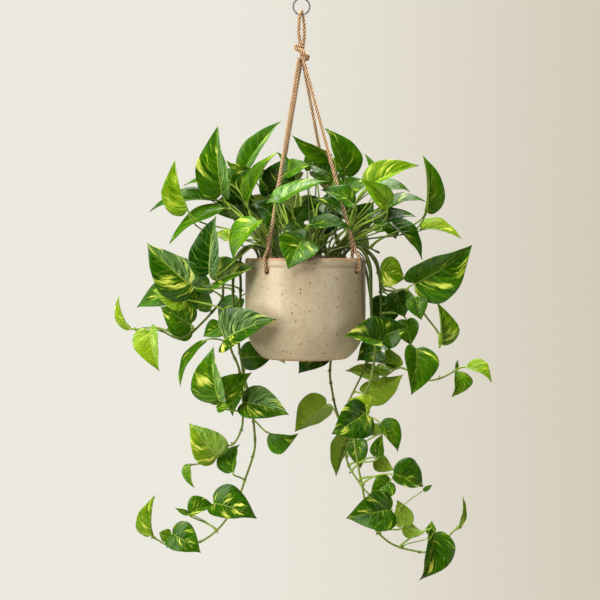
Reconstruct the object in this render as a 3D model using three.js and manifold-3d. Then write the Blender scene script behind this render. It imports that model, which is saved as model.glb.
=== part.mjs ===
// A pothos in a glazed hanging pot, hung by four rope legs, a knot and a steel ring.
// Millimetres, +Z up. The origin is where a hook bears on the ring's inner top.
// -Y is the front of the plant, +X is its right.

import * as THREE from 'three';
import { mergeVertices } from 'three/addons/utils/BufferGeometryUtils.js';
import Module from 'manifold-3d';

const wasm = await Module();
wasm.setup();

// ---- driving dimensions -------------------------------------------------------

const RIM_Z = -345;            // rim of the pot under the hook
const POT_X = 5.5;             // pot's axis, a little right of the hook
const POT_RADIUS = 80;
const POT_WALL = 5;
const POT_HEIGHT = 133;
const FOOT_RADIUS = 55;
const POT_SIDES = 32;
const HOLE_DROP = 17;          // rope holes under the rim
const HOLE_RADIUS = 4.2;

// Each rope stands in its own pocket at the soil's edge.
const POCKET_INSET = 3;        // pocket's middle, in from the wall
const POCKET_RADIUS = 5;
const POCKET_DEPTH = 20.3;     // its floor under the rim

const ROPE = 4.6;              // one rope's diameter
const ROPE_SIDES = 8;
const SPLICE = 7;              // width where the end is laid back onto the rope
const SPLICE_RISE = 33;        // splice top over the rim
const EYE_RISE = 8;            // where the rope parts round the wall, over the rim
const LEG_TOP = -81.4;         // legs start close under the knot

// Each leg: azimuth of its hole, and where it leaves the knot, [x, y]. Azimuth 0 is the
// front of the pot, and it grows to the right.
const LEGS = {
  front_left: { azimuth: -39, start: [-3.4, -3.8] },
  front_right: { azimuth: 56, start: [2.3, -4.9] },
  back_right: { azimuth: 143, start: [1.5, 4.9] },
  back_left: { azimuth: -140, start: [0.3, -0.1] },
};

// The eye's middle line: reach from the wall's middle, height over the rim.
const EYE_SIDE = [[1.5, 8], [4.9, 3], [5.7, -4], [5.8, -10], [6.1, -12.6], [3.5, -15.5]];
const EYE_LOW = -15.6;

const KNOT_X = 0.6;
const KNOT_CORE = { radii: [6.8, 5.6, 11.4], z: -69.2 };
const KNOT_ROPE = 3.1;         // radius of the ropes wound round the core
// Each wrap: [x, z, tilt, radius].
const KNOT_WRAPS = [[-3.4, -64.2, 10, 4.8], [-0.2, -69, 32, 5.4], [2.4, -73.8, 14, 4.8]];

const LOOP = 4.6;              // rope diameter of the loop
// The loop's middle line from the knot over the ring's lower arc and back.
const LOOP_ROUTE = [[-1.8, -2.6, -58.0], [-3.4, -3.4, -46], [-3.2, -4.4, -32],
  [-1.9, -4.9, -21], [0, 0, -16.1], [1.8, 4.9, -21], [3.6, 4.4, -32], [4, 3.4, -46],
  [2.9, 2.6, -58.0]];

const RING_RADIUS = 10.9;      // middle of the wire
const RING_WIRE = 2.2;
const GAP = 0.3;

const SOIL_CROWN = 3;          // soil's middle over the rim
const SOIL_EDGE = -5;

const BLADE = 0.9;             // leaf thickness
const PETIOLE = 1.15;          // petiole radius
const PETIOLE_SMALL = 0.69;    // the same for leaves under SMALL_LEAF wide
const SMALL_LEAF = 18;
const PETIOLE_FOOT = 0.85;     // its radius inside the stem
const PETIOLE_NECK = 0.42;     // its radius at the blade, and inside it, as shares of BLADE
const PETIOLE_TIP = 0.3;
const PETIOLE_SUNK = 3;        // how far it runs inside the blade
const LONG_PETIOLE = 30;       // from here on it gets one more bend
const STEM_THICK = 2.1;        // stem radius at the root
const STEM_THIN = 1.3;         // and at its end
const STEM_SIDES = 4;
const ROOT_DEPTH = 16;
const ROOT_HOLE = 3.6;         // radius of a root's hole in the soil

// Shares of a petiole's reach: how far out its first handle lies and how high it lifts, and
// how far its last handle lies back along the midrib and under the blade.
const PETIOLE_BEND = { out: 0.2, lift: 0.16, back: 0.3, under: 0.04 };

// ---- the view in which the plant was measured -----------------------------------
// Plant points are written as they are seen from the front at rim height, on the plane
// through the hook, with their depth: [x, depth, z]. Depth runs away from the viewer.

const EYE = { x: -1.9, z: RIM_Z, distance: 1600 };

function seen([x, depth, z]) {
  const spread = 1 + depth / EYE.distance;
  return new THREE.Vector3(EYE.x + (x - EYE.x) * spread, depth, EYE.z + (z - EYE.z) * spread);
}

// ---- leaf form ------------------------------------------------------------------
// The outline runs from the notch at the petiole, round a lobe, to the tip, as shares of
// the length and of the half width. The midrib list says where each rib leaves it.
// A leaf takes the first form whose least width it reaches.

const LEAF_FORMS = [
  {
    leastWidth: 46,
    outline: [[-0.09, 0.42], [0.06, 0.96], [0.34, 0.98], [0.68, 0.58], [1, 0]],
    midrib: [0, 0.12, 0.32, 0.6, 1],
  },
  {
    leastWidth: 18,
    outline: [[-0.08, 0.48], [0.14, 1], [0.55, 0.76], [1, 0]],
    midrib: [0, 0.14, 0.46, 1],
  },
  { leastWidth: 0, outline: [[-0.04, 0.4], [0.32, 1], [1, 0]], midrib: [0, 0.32, 1] },
];

// A leaf is [stem point, base, tip, width, roll, fold, arch]. Roll 0 turns the upper face
// to the viewer; fold lifts both halves; arch lifts the middle of the midrib.

// ---- the plant: each leafy stem with its root in the soil [x, y] ----------------

const PLANT = {
  crown_left: {
    root: [-46, -14],
    stem: [[-56, -14, -322], [-66, -16, -306]],
    leaves: [
      [1.8, [-106, -18, -259], [-112, -30, -168], 62, -33, 32, 5],
      [1.4, [-152, -34, -281], [-169, -42, -214], 54, -42, 42, 4],
      [2.0, [-118, 8, -267], [-204, 0, -283], 40, 56, 25, 8],
      [1.9, [-104, 6, -244], [-158, 5, -248], 32, 66, 13, 4],
      [1.6, [-108, -14, -280], [-178, -32, -325], 42, 58, 17, 6],
    ],
  },
  crown_left_mid: {
    root: [-32, 12],
    stem: [[-40, 14, -318], [-48, 14, -300]],
    leaves: [
      [1.6, [-82, 34, -256], [-112, 38, -226], 48, 10, 14, 4],
      [2.0, [-76, 30, -226], [-27, 18, -161], 38, -36, 31, 5],
      [1.9, [-70, 20, -230], [-101, 22, -215], 26, -58, 11, 3],
      [1.5, [-71, -8, -267], [-32, -18, -202], 44, -60, 25, 4],
      [1.8, [-77, 10, -262], [-68, 12, -220], 28, -20, 20, 3],
      [1.7, [-44, 14, -260], [-53, 14, -230], 28, 20, 20, 3],
      [1.2, [-67, 24, -274], [-124, 30, -281], 44, 14, 12, 6],
    ],
  },
  crown_centre: {
    root: [-10, -26],
    stem: [[-14, -28, -320], [-18, -30, -302]],
    leaves: [
      [1.9, [-30, -74, -267], [39, -54, -242], 50, -66, 13, 5],
      [1.5, [-24, -78, -271], [-48, -80, -273], 26, 62, 15, 3],
      [1.2, [-7, -36, -291], [7, -42, -273], 24, 10, 20, 2],
      [1.1, [-30, 2, -296], [-66, 0, -270], 44, 35, 14, 4],
      [2.0, [-32, 0, -250], [-22, 4, -212], 46, 5, 14, 4],
      [1.8, [-20, -4, -232], [13, -8, -221], 34, -45, 15, 3],
      [1.7, [-14, 22, -226], [-33, 18, -203], 12, 20, 20, 2],
    ],
  },
  crown_right_mid: {
    root: [18, 4],
    stem: [[22, 6, -318], [27, 8, -300]],
    leaves: [
      [2.0, [36, 8, -209], [-13, 4, -181], 34, -32, 45, 4],
      [1.8, [58, 4, -234], [32, -2, -171], 56, 35, 35, 5],
      [1.7, [42, 12, -236], [10, 16, -220], 42, 25, 15, 4],
      [1.5, [8, 34, -228], [6, 40, -204], 14, 25, 20, 2],
      [1.2, [30, 20, -272], [74, 22, -296], 46, -35, 14, 5],
      [1.4, [54, 12, -262], [94, 13, -244], 42, -45, 18, 5],
      [1.0, [62, 6, -288], [14, -4, -266], 34, 50, 16, 4],
    ],
  },
  crown_right: {
    root: [40, -14],
    stem: [[56, -16, -322], [68, -18, -306]],
    leaves: [
      [2.0, [90, -26, -249], [157, -36, -221], 48, -40, 40, 5],
      [1.9, [100, -2, -236], [84, 4, -205], 12, 25, 20, 2],
      [1.8, [113, -46, -273], [79, -52, -240], 36, 15, 38, 3],
      [1.7, [96, 0, -252], [147, 6, -257], 38, -60, 17, 5],
      [1.4, [114, -28, -277], [167, -22, -270], 34, -63, 18, 7],
      [1.0, [98, -24, -293], [154, -10, -289], 40, -58, 9, 5],
      [1.9, [68, -54, -272], [25, -58, -254], 40, 48, 18, 4],
    ],
  },
  crown_far_right: {
    root: [48, 20],
    stem: [[66, 24, -328], [86, 24, -330], [104, 18, -338]],
    leaves: [
      [2.9, [166, 4, -281], [162, -10, -206], 50, 45, 44, 5],
      [2.8, [160, 22, -306], [215, 14, -320], 36, -53, 35, 5],
      [2.0, [122, 4, -299], [162, -6, -348], 40, -51, 26, 5],
      [1.8, [120, 26, -296], [126, 22, -320], 28, 10, 14, 3],
      [1.6, [112, 44, -300], [93, 50, -308], 24, 30, 14, 2],
      [1.0, [73, 30, -300], [97, 32, -270], 36, -10, 14, 4],
    ],
  },
  crown_inner: {
    root: [4, 14],
    stem: [[5, 16, -326], [7, 18, -306]],
    leaves: [
      [2.0, [28, 34, -276], [-6, 32, -294], 40, 20, 12, 4],
      [1.6, [20, 26, -303], [60, 30, -285], 36, -15, 14, 4],
      [1.5, [-12, 14, -300], [-26, 12, -268], 32, -10, 14, 4],
    ],
  },
  crown_front: {
    root: [0, -52],
    stem: [[0, -56, -328]],
    leaves: [
      [1.0, [0, -72, -322], [-18, -94, -360], 54, 6, 15, 5],
      [0.8, [4, -58, -306], [-28, -60, -318], 34, 35, 15, 3],
      [0.9, [14, -56, -300], [70, -64, -307], 34, -55, 15, 5],
    ],
  },
  crown_left_front: {
    root: [-34, -40],
    stem: [[-44, -46, -326], [-54, -50, -312]],
    leaves: [
      [1.9, [-131, -54, -303], [-119, -62, -366], 54, 31, 31, 4],
      [2.0, [-60, -60, -297], [-92, -72, -349], 50, 52, 22, 5],
      [1.5, [-96, -40, -318], [-116, -38, -312], 20, 40, 15, 2],
    ],
  },
  vine_left_long: {
    root: [-58, -4],
    stem: [[-66, -5, -330], [-77, -5, -334], [-82, -4, -352], [-81, -3, -378], [-82, -1, -412],
      [-84, 2, -452], [-79, 5, -488], [-73, 7, -516], [-67, 8, -538], [-64, 8, -562], [-62, 8, -596],
      [-66, 8, -614], [-75, 8, -640], [-82, 7, -660], [-97, 4, -689], [-115, 2, -710], [-134, 0, -723],
      [-165, -2, -733], [-181, -4, -727], [-198, -6, -717]],
    leaves: [
      [4.3, [-114, -32, -376], [-62, -58, -358], 54, -35, 35, 4],
      [8.5, [-76, -16, -537], [-16, -28, -554], 50, -26, 21, 6],
      [14.3, [-116, -12, -672], [-59, -22, -692], 56, -33, 33, 6],
      [15.9, [-148, 6, -685], [-114, 12, -677], 38, -44, 42, 5],
      [15.95, [-150, 5, -686], [-169, 2, -678], 8, 0, 10, 1],
      [18.2, [-172, -10, -713], [-134, -18, -738], 46, -27, 27, 4],
      [18.8, [-177, 4, -717], [-190, 6, -711], 18, 20, 12, 2],
      [19.9, [-199, -6, -714], [-196, -12, -661], 40, -43, 42, 4],
      [13.1, [-92, -6, -630], [-83, 14, -593], 46, -43, 40, 3],
      [10.0, [-43, -4, -579], [-4, -14, -580], 52, 38, 37, 4],
    ],
  },
  vine_left_inner: {
    root: [-40, -24],
    stem: [[-52, -26, -331], [-70, -27, -329], [-86, -25, -345], [-91, -22, -378], [-91, -18, -412],
      [-95, -14, -446], [-94, -10, -466], [-84, -6, -490], [-79, -5, -520], [-78, -4, -556],
      [-80, -4, -573], [-90, -4, -592], [-103, -4, -598], [-113, -5, -611], [-130, -6, -618],
      [-149, -8, -621]],
    leaves: [
      [4.3, [-144, -34, -383], [-207, -46, -325], 68, -21, 21, 6],
      [6.2, [-101, -44, -453], [-33, -88, -427], 66, -32, 32, 7],
      [5.3, [-153, -22, -400], [-199, -22, -388], 42, 15, 15, 4],
      [6.7, [-133, -20, -458], [-162, -34, -518], 32, 66, 8, 9],
      [9.2, [-111, -36, -532], [-118, -42, -463], 60, -32, 32, 6],
      [9.9, [-112, -22, -541], [-66, -18, -497], 48, -30, 30, 4],
      [13.9, [-113, -18, -609], [-150, -26, -565], 48, 5, 12, 5],
      [15.95, [-150, -8, -621], [-143, -14, -652], 20, 36, 34, 3],
      [5.7, [-108, -10, -437], [-131, -14, -450], 28, 20, 14, 3],
    ],
  },
  vine_left_outer: {
    root: [-38, 34],
    stem: [[-52, 38, -332], [-72, 36, -332], [-92, 30, -352], [-103, 24, -375], [-106, 18, -400],
      [-120, 12, -418], [-133, 8, -432], [-150, 2, -447], [-165, 0, -452], [-187, -2, -442],
      [-205, -2, -438], [-222, -2, -441]],
    leaves: [
      [4.0, [-122, 4, -380], [-143, 2, -389], 34, 30, 14, 3],
      [5.9, [-137, 10, -413], [-130, 8, -377], 42, -10, 20, 4],
      [4.9, [-160, -2, -384], [-220, -8, -411], 42, 22, 16, 5],
      [7.6, [-149, -14, -433], [-188, -24, -410], 46, 8, 8, 4],
      [7.8, [-148, 16, -437], [-181, 18, -441], 38, 12, 10, 3],
      [11.9, [-229, -6, -438], [-244, -14, -395], 28, -55, 30, 4],
      [8.9, [-202, -16, -442], [-190, -32, -496], 50, 17, 42, 4],
    ],
  },
  vine_right_outer: {
    root: [56, -24],
    stem: [[68, -17, -331], [84, -16, -332], [96, -18, -346], [104, -20, -366], [109, -22, -386],
      [122, -20, -389], [138, -18, -387], [148, -17, -395], [158, -16, -411], [167, -16, -424],
      [178, -16, -438], [184, -16, -447]],
    leaves: [
      [7.2, [152, -34, -379], [228, -52, -328], 74, 25, 25, 7],
      [11.9, [184, -24, -458], [181, -34, -404], 50, 44, 44, 4],
      [4.0, [106, -12, -362], [138, -4, -373], 44, -20, 20, 3],
      [8.2, [152, -26, -398], [160, -30, -428], 30, 10, 18, 3],
    ],
  },
  vine_right_mid: {
    root: [44, 34],
    stem: [[60, 38, -331], [78, 38, -331], [96, 34, -346], [104, 28, -372], [106, 22, -402],
      [105, 16, -432], [101, 10, -460], [96, 4, -486], [93, 0, -503], [101, -2, -508],
      [115, -2, -500], [130, -2, -491], [148, -4, -498], [168, -6, -508], [186, -8, -505],
      [200, -8, -498], [207, -8, -494]],
    leaves: [
      [4.4, [128, 14, -391], [138, 12, -424], 38, 10, 18, 4],
      [6.2, [106, 0, -451], [141, 2, -437], 46, -20, 16, 4],
      [5.6, [140, 24, -428], [146, 26, -462], 34, 15, 14, 3],
      [12.8, [153, -24, -467], [147, -36, -528], 56, -25, 25, 6],
      [16.8, [206, -14, -497], [201, -22, -531], 44, -38, 36, 4],
      [17.0, [222, -8, -491], [254, -14, -512], 34, -50, 34, 6],
      [16.9, [207, -8, -493], [208, -8, -480], 5, 0, 10, 0.5],
      [6.8, [105, 3, -468], [74, -3, -482], 46, 40, 14, 4],
      [4.6, [118, 40, -402], [100, 46, -440], 44, 20, 14, 4],
    ],
  },
  vine_right_long: {
    root: [36, -42],
    stem: [[54, -38, -332], [76, -34, -331], [89, -35, -350], [92, -38, -390], [94, -32, -430],
      [98, -26, -465], [96, -22, -490], [91, -20, -512], [83, -18, -530], [73, -16, -556],
      [70, -14, -580], [73, -12, -605], [77, -10, -630], [82, -8, -655], [88, -7, -685],
      [98, -6, -706], [108, -6, -717], [120, -6, -726], [132, -6, -731], [148, -6, -735],
      [165, -4, -737], [186, -2, -728], [200, -2, -712], [209, -2, -704]],
    leaves: [
      [5.6, [106, -54, -457], [57, -78, -449], 58, 37, 37, 5],
      [9.4, [86, -40, -552], [40, -52, -580], 52, 0, 10, 5],
      [9.0, [91, -28, -545], [63, -28, -533], 28, 25, 14, 3],
      [15.6, [119, -24, -681], [59, -34, -692], 54, 18, 18, 6],
      [13.4, [118, -14, -643], [91, -16, -663], 32, 10, 12, 3],
      [13.7, [124, -18, -634], [163, -8, -650], 54, -39, 38, 5],
      [18.9, [177, -22, -712], [157, -36, -776], 62, -33, 33, 6],
      [19.1, [172, -12, -713], [174, -12, -695], 14, 0, 10, 1],
      [23.9, [210, -3, -704], [215, -4, -661], 22, 62, 16, 3],
      [16.4, [137, -10, -701], [128, -6, -667], 30, 150, 10, 3],
      [16.4, [137, -13, -703], [164, -16, -712], 26, 130, 10, 3],
      [10.0, [106, -22, -566], [129, -26, -604], 38, -38, 36, 3],
      [16.6, [163, -12, -655], [175, -12, -647], 7, 0, 10, 0.5],
    ],
  },
  vine_right_inner: {
    root: [22, 44],
    stem: [[44, 52, -331], [64, 54, -332], [82, 50, -350], [91, 42, -390], [93, 34, -430],
      [91, 26, -465], [84, 20, -492], [72, 16, -518], [62, 12, -538]],
    leaves: [
      [8.3, [84, 2, -525], [136, -4, -501], 46, 147, 30, 5],
      [7.0, [102, 24, -502], [58, 20, -495], 26, 150, 14, 4],
      [6.8, [102, 34, -492], [121, 36, -493], 20, 140, 10, 2],
      [6.7, [130, 18, -487], [97, 16, -483], 26, 45, 20, 3],
      [6.3, [128, 10, -489], [112, 10, -462], 24, -20, 14, 3],
    ],
  },
  vine_back: {
    root: [4, 56],
    stem: [[20, 74, -330], [32, 90, -335], [38, 94, -362], [40, 92, -420], [40, 88, -470],
      [38, 82, -500], [41, 74, -522], [45, 66, -542], [51, 58, -562], [54, 50, -582], [59, 42, -606],
      [63, 36, -622], [74, 28, -640], [86, 22, -656], [93, 20, -662]],
    leaves: [
      [9.2, [33, 52, -541], [-9, 42, -577], 54, 155, 25, 6],
      [9.9, [62, 36, -580], [46, 28, -638], 50, 125, 10, 5],
      [10.5, [75, 30, -588], [79, 30, -626], 30, 20, 14, 3],
      [4.6, [28, 84, -462], [-4, 76, -499], 46, 10, 14, 4],
      [12.4, [100, 16, -613], [124, 16, -628], 26, 150, 12, 3],
      [12.0, [103, 10, -609], [108, 10, -579], 24, -30, 30, 3],
      [11.2, [106, 24, -575], [77, 24, -581], 22, 150, 14, 3],
    ],
  },
  vine_back_left: {
    root: [-18, 48],
    stem: [[-34, 66, -331], [-48, 82, -340], [-56, 84, -372], [-62, 80, -420], [-68, 72, -460],
      [-74, 62, -492]],
    leaves: [
      [5.5, [-78, 44, -478], [-38, 56, -477], 42, -20, 18, 4],
      [3.4, [-84, 66, -400], [-104, 62, -446], 44, 40, 20, 5],
      [4.2, [-44, 92, -440], [-22, 96, -486], 46, 160, 20, 5],
      [6.0, [-82, 58, -505], [-92, 58, -556], 40, 30, 24, 5],
    ],
  },
};

// ---- the crown's back: leaves fan out by a rule ----------------------------------
// Azimuths are counted from +X. A tier gives how far from the middle, and at what height,
// a leaf's base and tip stand. Neighbours take different tiers. The petioles leave the stem
// one stretch apart.

const FANS = { crown_back_right: [26, 30], crown_back: [0, 36], crown_back_left: [-31, 24] };
const FAN = {
  middle: [2, 14], azimuth: 35, step: 14.5, leaves: 3,
  rise: 38, lean: 1.1, first: 0.55, stretch: 0.2,
  width: 44, fold: 16, arch: 5,
};
const TIERS = [
  { base: [69, -301], tip: [112, -346] },
  { base: [66, -260], tip: [113, -300] },
  { base: [54, -228], tip: [102, -264] },
];

// ---- colours, one for each material slot -------------------------------------------

const LEAF_GREEN = new THREE.MeshStandardMaterial({ color: 0x3f7d1e, roughness: 0.4, metalness: 0 });
const GLAZE = new THREE.MeshStandardMaterial({ color: 0xcbbd9f, roughness: 0.3, metalness: 0 });
const EARTH = new THREE.MeshStandardMaterial({ color: 0x2a1d13, roughness: 0.95, metalness: 0 });
const JUTE = new THREE.MeshStandardMaterial({ color: 0xb08a60, roughness: 0.9, metalness: 0 });
const STEEL = new THREE.MeshStandardMaterial({ color: 0x4a4a4c, roughness: 0.35, metalness: 1 });

// ---- solids ----------------------------------------------------------------------

const UP = new THREE.Vector3(0, 0, 1);
const VIEWER = new THREE.Vector3(0, -1, 0);

function toSolid(geometry) {
  const bare = geometry.index ? geometry.clone() : geometry;
  bare.deleteAttribute('normal');
  bare.deleteAttribute('uv');
  const merged = mergeVertices(bare, 1e-4);
  return new wasm.Manifold(new wasm.Mesh({
    numProp: 3,
    vertProperties: new Float32Array(merged.attributes.position.array),
    triVerts: new Uint32Array(merged.index.array),
  }));
}

function toGeometry(solid) {
  const mesh = solid.asOriginal().simplify(0.04).getMesh();
  const geometry = new THREE.BufferGeometry();
  const flat = new Float32Array(mesh.vertProperties);
  geometry.setAttribute('position', new THREE.BufferAttribute(flat, 3));
  geometry.setIndex(new THREE.BufferAttribute(new Uint32Array(mesh.triVerts), 1));
  return geometry;
}

function join(solids) {
  return solids.reduce((whole, next) => whole.add(next));
}

function indexed(points, triangles) {
  const geometry = new THREE.BufferGeometry();
  const flat = new Float32Array(points.flatMap((p) => [p.x, p.y, p.z]));
  geometry.setAttribute('position', new THREE.BufferAttribute(flat, 3));
  geometry.setIndex(triangles.flat());
  return geometry;
}

// A closed tube with its own radius at each point of its path.
function taperedTube(path, radii, sides) {
  const frames = framesAlong(path);
  const points = [];
  path.forEach((centre, i) => {
    for (let k = 0; k < sides; k += 1) {
      const angle = 2 * Math.PI * k / sides;
      points.push(centre.clone()
        .addScaledVector(frames[i].side, radii[i] * Math.cos(angle))
        .addScaledVector(frames[i].up, radii[i] * Math.sin(angle)));
    }
  });
  const triangles = [];
  for (let i = 0; i + 1 < path.length; i += 1) {
    for (let k = 0; k < sides; k += 1) {
      const a = i * sides + k;
      const b = i * sides + (k + 1) % sides;
      triangles.push([a, b, b + sides], [a, b + sides, a + sides]);
    }
  }
  const last = (path.length - 1) * sides;
  for (let k = 1; k + 1 < sides; k += 1) {
    triangles.push([0, k + 1, k], [last, last + k, last + k + 1]);
  }
  return indexed(points, triangles);
}

// Side and up directions carried along a path with no twist.
function framesAlong(path) {
  const frames = [];
  let side = null;
  path.forEach((point, i) => {
    const before = path[Math.max(i - 1, 0)];
    const after = path[Math.min(i + 1, path.length - 1)];
    const along = after.clone().sub(before).normalize();
    if (!side) side = Math.abs(along.z) < 0.9 ? UP : new THREE.Vector3(1, 0, 0);
    side = side.clone().addScaledVector(along, -side.dot(along)).normalize();
    frames.push({ side, up: along.clone().cross(side) });
  });
  return frames;
}

// ---- leaf ------------------------------------------------------------------------

function leafFrame(base, tip, roll, face) {
  const along = tip.clone().sub(base);
  const length = along.length();
  along.normalize();
  const level = face.clone().addScaledVector(along, -face.dot(along)).normalize();
  const right = along.clone().cross(level);
  const turn = THREE.MathUtils.degToRad(roll);
  const normal = level.clone().applyAxisAngle(along, turn);
  return { base, length, along, normal, side: along.clone().cross(normal) };
}

// Share runs along the midrib, reach from edge to edge. Both halves lean up by the fold, and
// the arch is the midrib's rise half way along.
function leafPoint(frame, share, reach, width, fold, arch) {
  const lean = THREE.MathUtils.degToRad(fold);
  const across = reach * width / 2;
  const rise = Math.abs(across) * Math.sin(lean) + 4 * arch * share * (1 - share);
  return frame.base.clone()
    .addScaledVector(frame.along, share * frame.length)
    .addScaledVector(frame.side, across * Math.cos(lean))
    .addScaledVector(frame.normal, rise);
}

// Ribs run from the midrib to the outline on both sides and meet at the tip.
function leafSolid(frame, width, fold, arch) {
  const { outline, midrib } = leafForm(width);
  const tip = midrib.length - 1;
  const right = (i) => (i === tip ? tip : tip + 1 + i);
  const left = (i) => (i === tip ? tip : 2 * tip + 1 + i);
  const shares = midrib.map((share) => [share, 0]);
  const lobes = outline.slice(0, -1);
  shares.push(...lobes, ...lobes.map(([share, reach]) => [share, -reach]));
  const face = [];
  for (let i = 0; i < tip; i += 1) {
    face.push([i, right(i), right(i + 1)], [i, left(i + 1), left(i)]);
    if (i + 1 < tip) face.push([i, right(i + 1), i + 1], [i, i + 1, left(i + 1)]);
  }
  const rim = [0];
  for (let i = 0; i <= tip; i += 1) rim.push(right(i));
  for (let i = tip - 1; i >= 0; i -= 1) rim.push(left(i));
  const half = frame.normal.clone().multiplyScalar(BLADE / 2);
  const middle = shares.map(([share, reach]) => leafPoint(frame, share, reach, width, fold, arch));
  const points = middle.map((p) => p.clone().add(half));
  points.push(...middle.map((p) => p.clone().sub(half)));
  const under = middle.length;
  const triangles = [...face, ...face.map(([a, b, c]) => [a + under, c + under, b + under])];
  rim.forEach((a, i) => {
    const b = rim[(i + 1) % rim.length];
    triangles.push([b, a, a + under], [b, a + under, b + under]);
  });
  return toSolid(indexed(points, triangles));
}

function leafForm(width) {
  return LEAF_FORMS.find((form) => width >= form.leastWidth);
}

// The petiole leaves the stem, lifts, thins to less than the blade's thickness and runs on
// a little way inside it.
function petioleSolid(from, frame, width, arch) {
  const share = leafForm(width).midrib[1];
  const sunk = leafPoint(frame, share, 0, width, 0, arch).sub(frame.base).normalize();
  const reach = frame.base.distanceTo(from);
  const first = from.clone().lerp(frame.base, PETIOLE_BEND.out);
  first.z += PETIOLE_BEND.lift * reach;
  const second = frame.base.clone()
    .addScaledVector(frame.along, -PETIOLE_BEND.back * reach)
    .addScaledVector(frame.normal, -PETIOLE_BEND.under * reach);
  const curve = new THREE.CubicBezierCurve3(from, first, second, frame.base);
  const path = curve.getPoints(reach > LONG_PETIOLE ? 3 : 2);
  const radii = path.map(() => (width < SMALL_LEAF ? PETIOLE_SMALL : PETIOLE));
  radii[0] = PETIOLE_FOOT;
  radii[radii.length - 1] = BLADE * PETIOLE_NECK;
  path.push(frame.base.clone().addScaledVector(sunk, PETIOLE_SUNK));
  radii.push(BLADE * PETIOLE_TIP);
  return toSolid(taperedTube(path, radii, 3));
}

// ---- leafy stems -------------------------------------------------------------------

function rootPoints([x, y]) {
  const foot = new THREE.Vector3(x, y, RIM_Z - ROOT_DEPTH);
  return [foot, new THREE.Vector3(x, y, RIM_Z + SOIL_CROWN + 2)];
}

function stemPath({ root, stem }) {
  return [...rootPoints(root), ...stem.map(seen)];
}

// Stem point p is the p-th written point; the root's top is point 0.
function pointOnStem(path, p) {
  const i = Math.min(Math.floor(p) + 1, path.length - 2);
  return path[i].clone().lerp(path[i + 1], Math.min(p + 1 - i, 1));
}

function stemSolid(path) {
  const radii = path.map((_, i) => STEM_THICK + (STEM_THIN - STEM_THICK) * i / (path.length - 1));
  return toSolid(taperedTube(path, radii, STEM_SIDES));
}

function leafyStem(name, plan) {
  const path = stemPath(plan);
  const solids = [stemSolid(path)];
  plan.leaves.forEach(([at, base, tip, width, roll, fold, arch]) => {
    const frame = leafFrame(seen(base), seen(tip), roll, VIEWER);
    solids.push(petioleSolid(pointOnStem(path, at), frame, width, arch));
    solids.push(leafSolid(frame, width, fold, arch));
  });
  return mesh(name, toGeometry(join(solids)), LEAF_GREEN);
}

function fanOfLeaves(name, [x, y], order) {
  const top = new THREE.Vector3(x * FAN.lean, y * FAN.lean, RIM_Z + FAN.rise);
  const path = [...rootPoints([x, y]), top];
  const solids = [stemSolid(path)];
  for (let i = 0; i < FAN.leaves; i += 1) {
    const place = order * FAN.leaves + i;
    const azimuth = THREE.MathUtils.degToRad(FAN.azimuth + place * FAN.step);
    const tier = TIERS[place % TIERS.length];
    const frame = leafFrame(fanPoint(azimuth, tier.base), fanPoint(azimuth, tier.tip), 0, UP);
    const start = pointOnStem(path, FAN.first + FAN.stretch * i);
    solids.push(petioleSolid(start, frame, FAN.width, FAN.arch));
    solids.push(leafSolid(frame, FAN.width, FAN.fold, FAN.arch));
  }
  return mesh(name, toGeometry(join(solids)), LEAF_GREEN);
}

function fanPoint(azimuth, [reach, z]) {
  const [x, y] = FAN.middle;
  return new THREE.Vector3(x + Math.cos(azimuth) * reach, y + Math.sin(azimuth) * reach, z);
}

// ---- pot and soil ------------------------------------------------------------------

function lathe(profile, sides) {
  const points = profile.map(([radius, z]) => new THREE.Vector2(radius, z));
  const geometry = new THREE.LatheGeometry(points, sides);
  geometry.rotateX(Math.PI / 2);
  geometry.translate(POT_X, 0, RIM_Z);
  return geometry;
}

// Profiles of the pot: [radius, height over the rim], outside from the foot up to the lip,
// inside from the lip down.
const OUTER = [[0, -POT_HEIGHT], [FOOT_RADIUS, -POT_HEIGHT], [60, -129.5], [69, -119.5],
  [75.5, -107], [79.2, -93], [POT_RADIUS, -78], [POT_RADIUS, -13.5], [79.4, -12], [80.5, -10],
  [80.5, -2.5], [78.2, 0], [76, -0.8]];
const INNER = [[POT_RADIUS - POT_WALL, -3], [POT_RADIUS - POT_WALL, -86], [69, -110],
  [52, -126], [0, -127]];

function potSolid() {
  let pot = toSolid(lathe([...OUTER, ...INNER], POT_SIDES));
  Object.values(LEGS).forEach(({ azimuth }) => {
    const drill = new THREE.CylinderGeometry(HOLE_RADIUS, HOLE_RADIUS, 5 * POT_WALL, 12);
    drill.translate(0, -(POT_RADIUS - POT_WALL / 2), 0);
    drill.rotateZ(THREE.MathUtils.degToRad(azimuth));
    drill.translate(POT_X, 0, RIM_Z - HOLE_DROP);
    pot = pot.subtract(toSolid(drill));
  });
  return pot;
}

function soilSolid(roots) {
  const edge = INNER.map(([radius, z]) => [Math.max(radius - GAP, 0), z + GAP]).reverse();
  edge[edge.length - 1] = [POT_RADIUS - POT_WALL - GAP, SOIL_EDGE];
  const profile = [...edge, [66, SOIL_EDGE + 3], [40, SOIL_CROWN - 1], [0, SOIL_CROWN]];
  let soil = toSolid(lathe(profile, POT_SIDES));
  roots.forEach(([x, y]) => {
    soil = soil.subtract(pocket(x, y, ROOT_HOLE, RIM_Z - ROOT_DEPTH - GAP));
  });
  Object.values(LEGS).forEach(({ azimuth }) => {
    const place = outward(azimuth).multiplyScalar(POT_RADIUS - POT_WALL - POCKET_INSET);
    soil = soil.subtract(pocket(POT_X + place.x, place.y, POCKET_RADIUS, RIM_Z - POCKET_DEPTH));
  });
  return soil;
}

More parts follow.
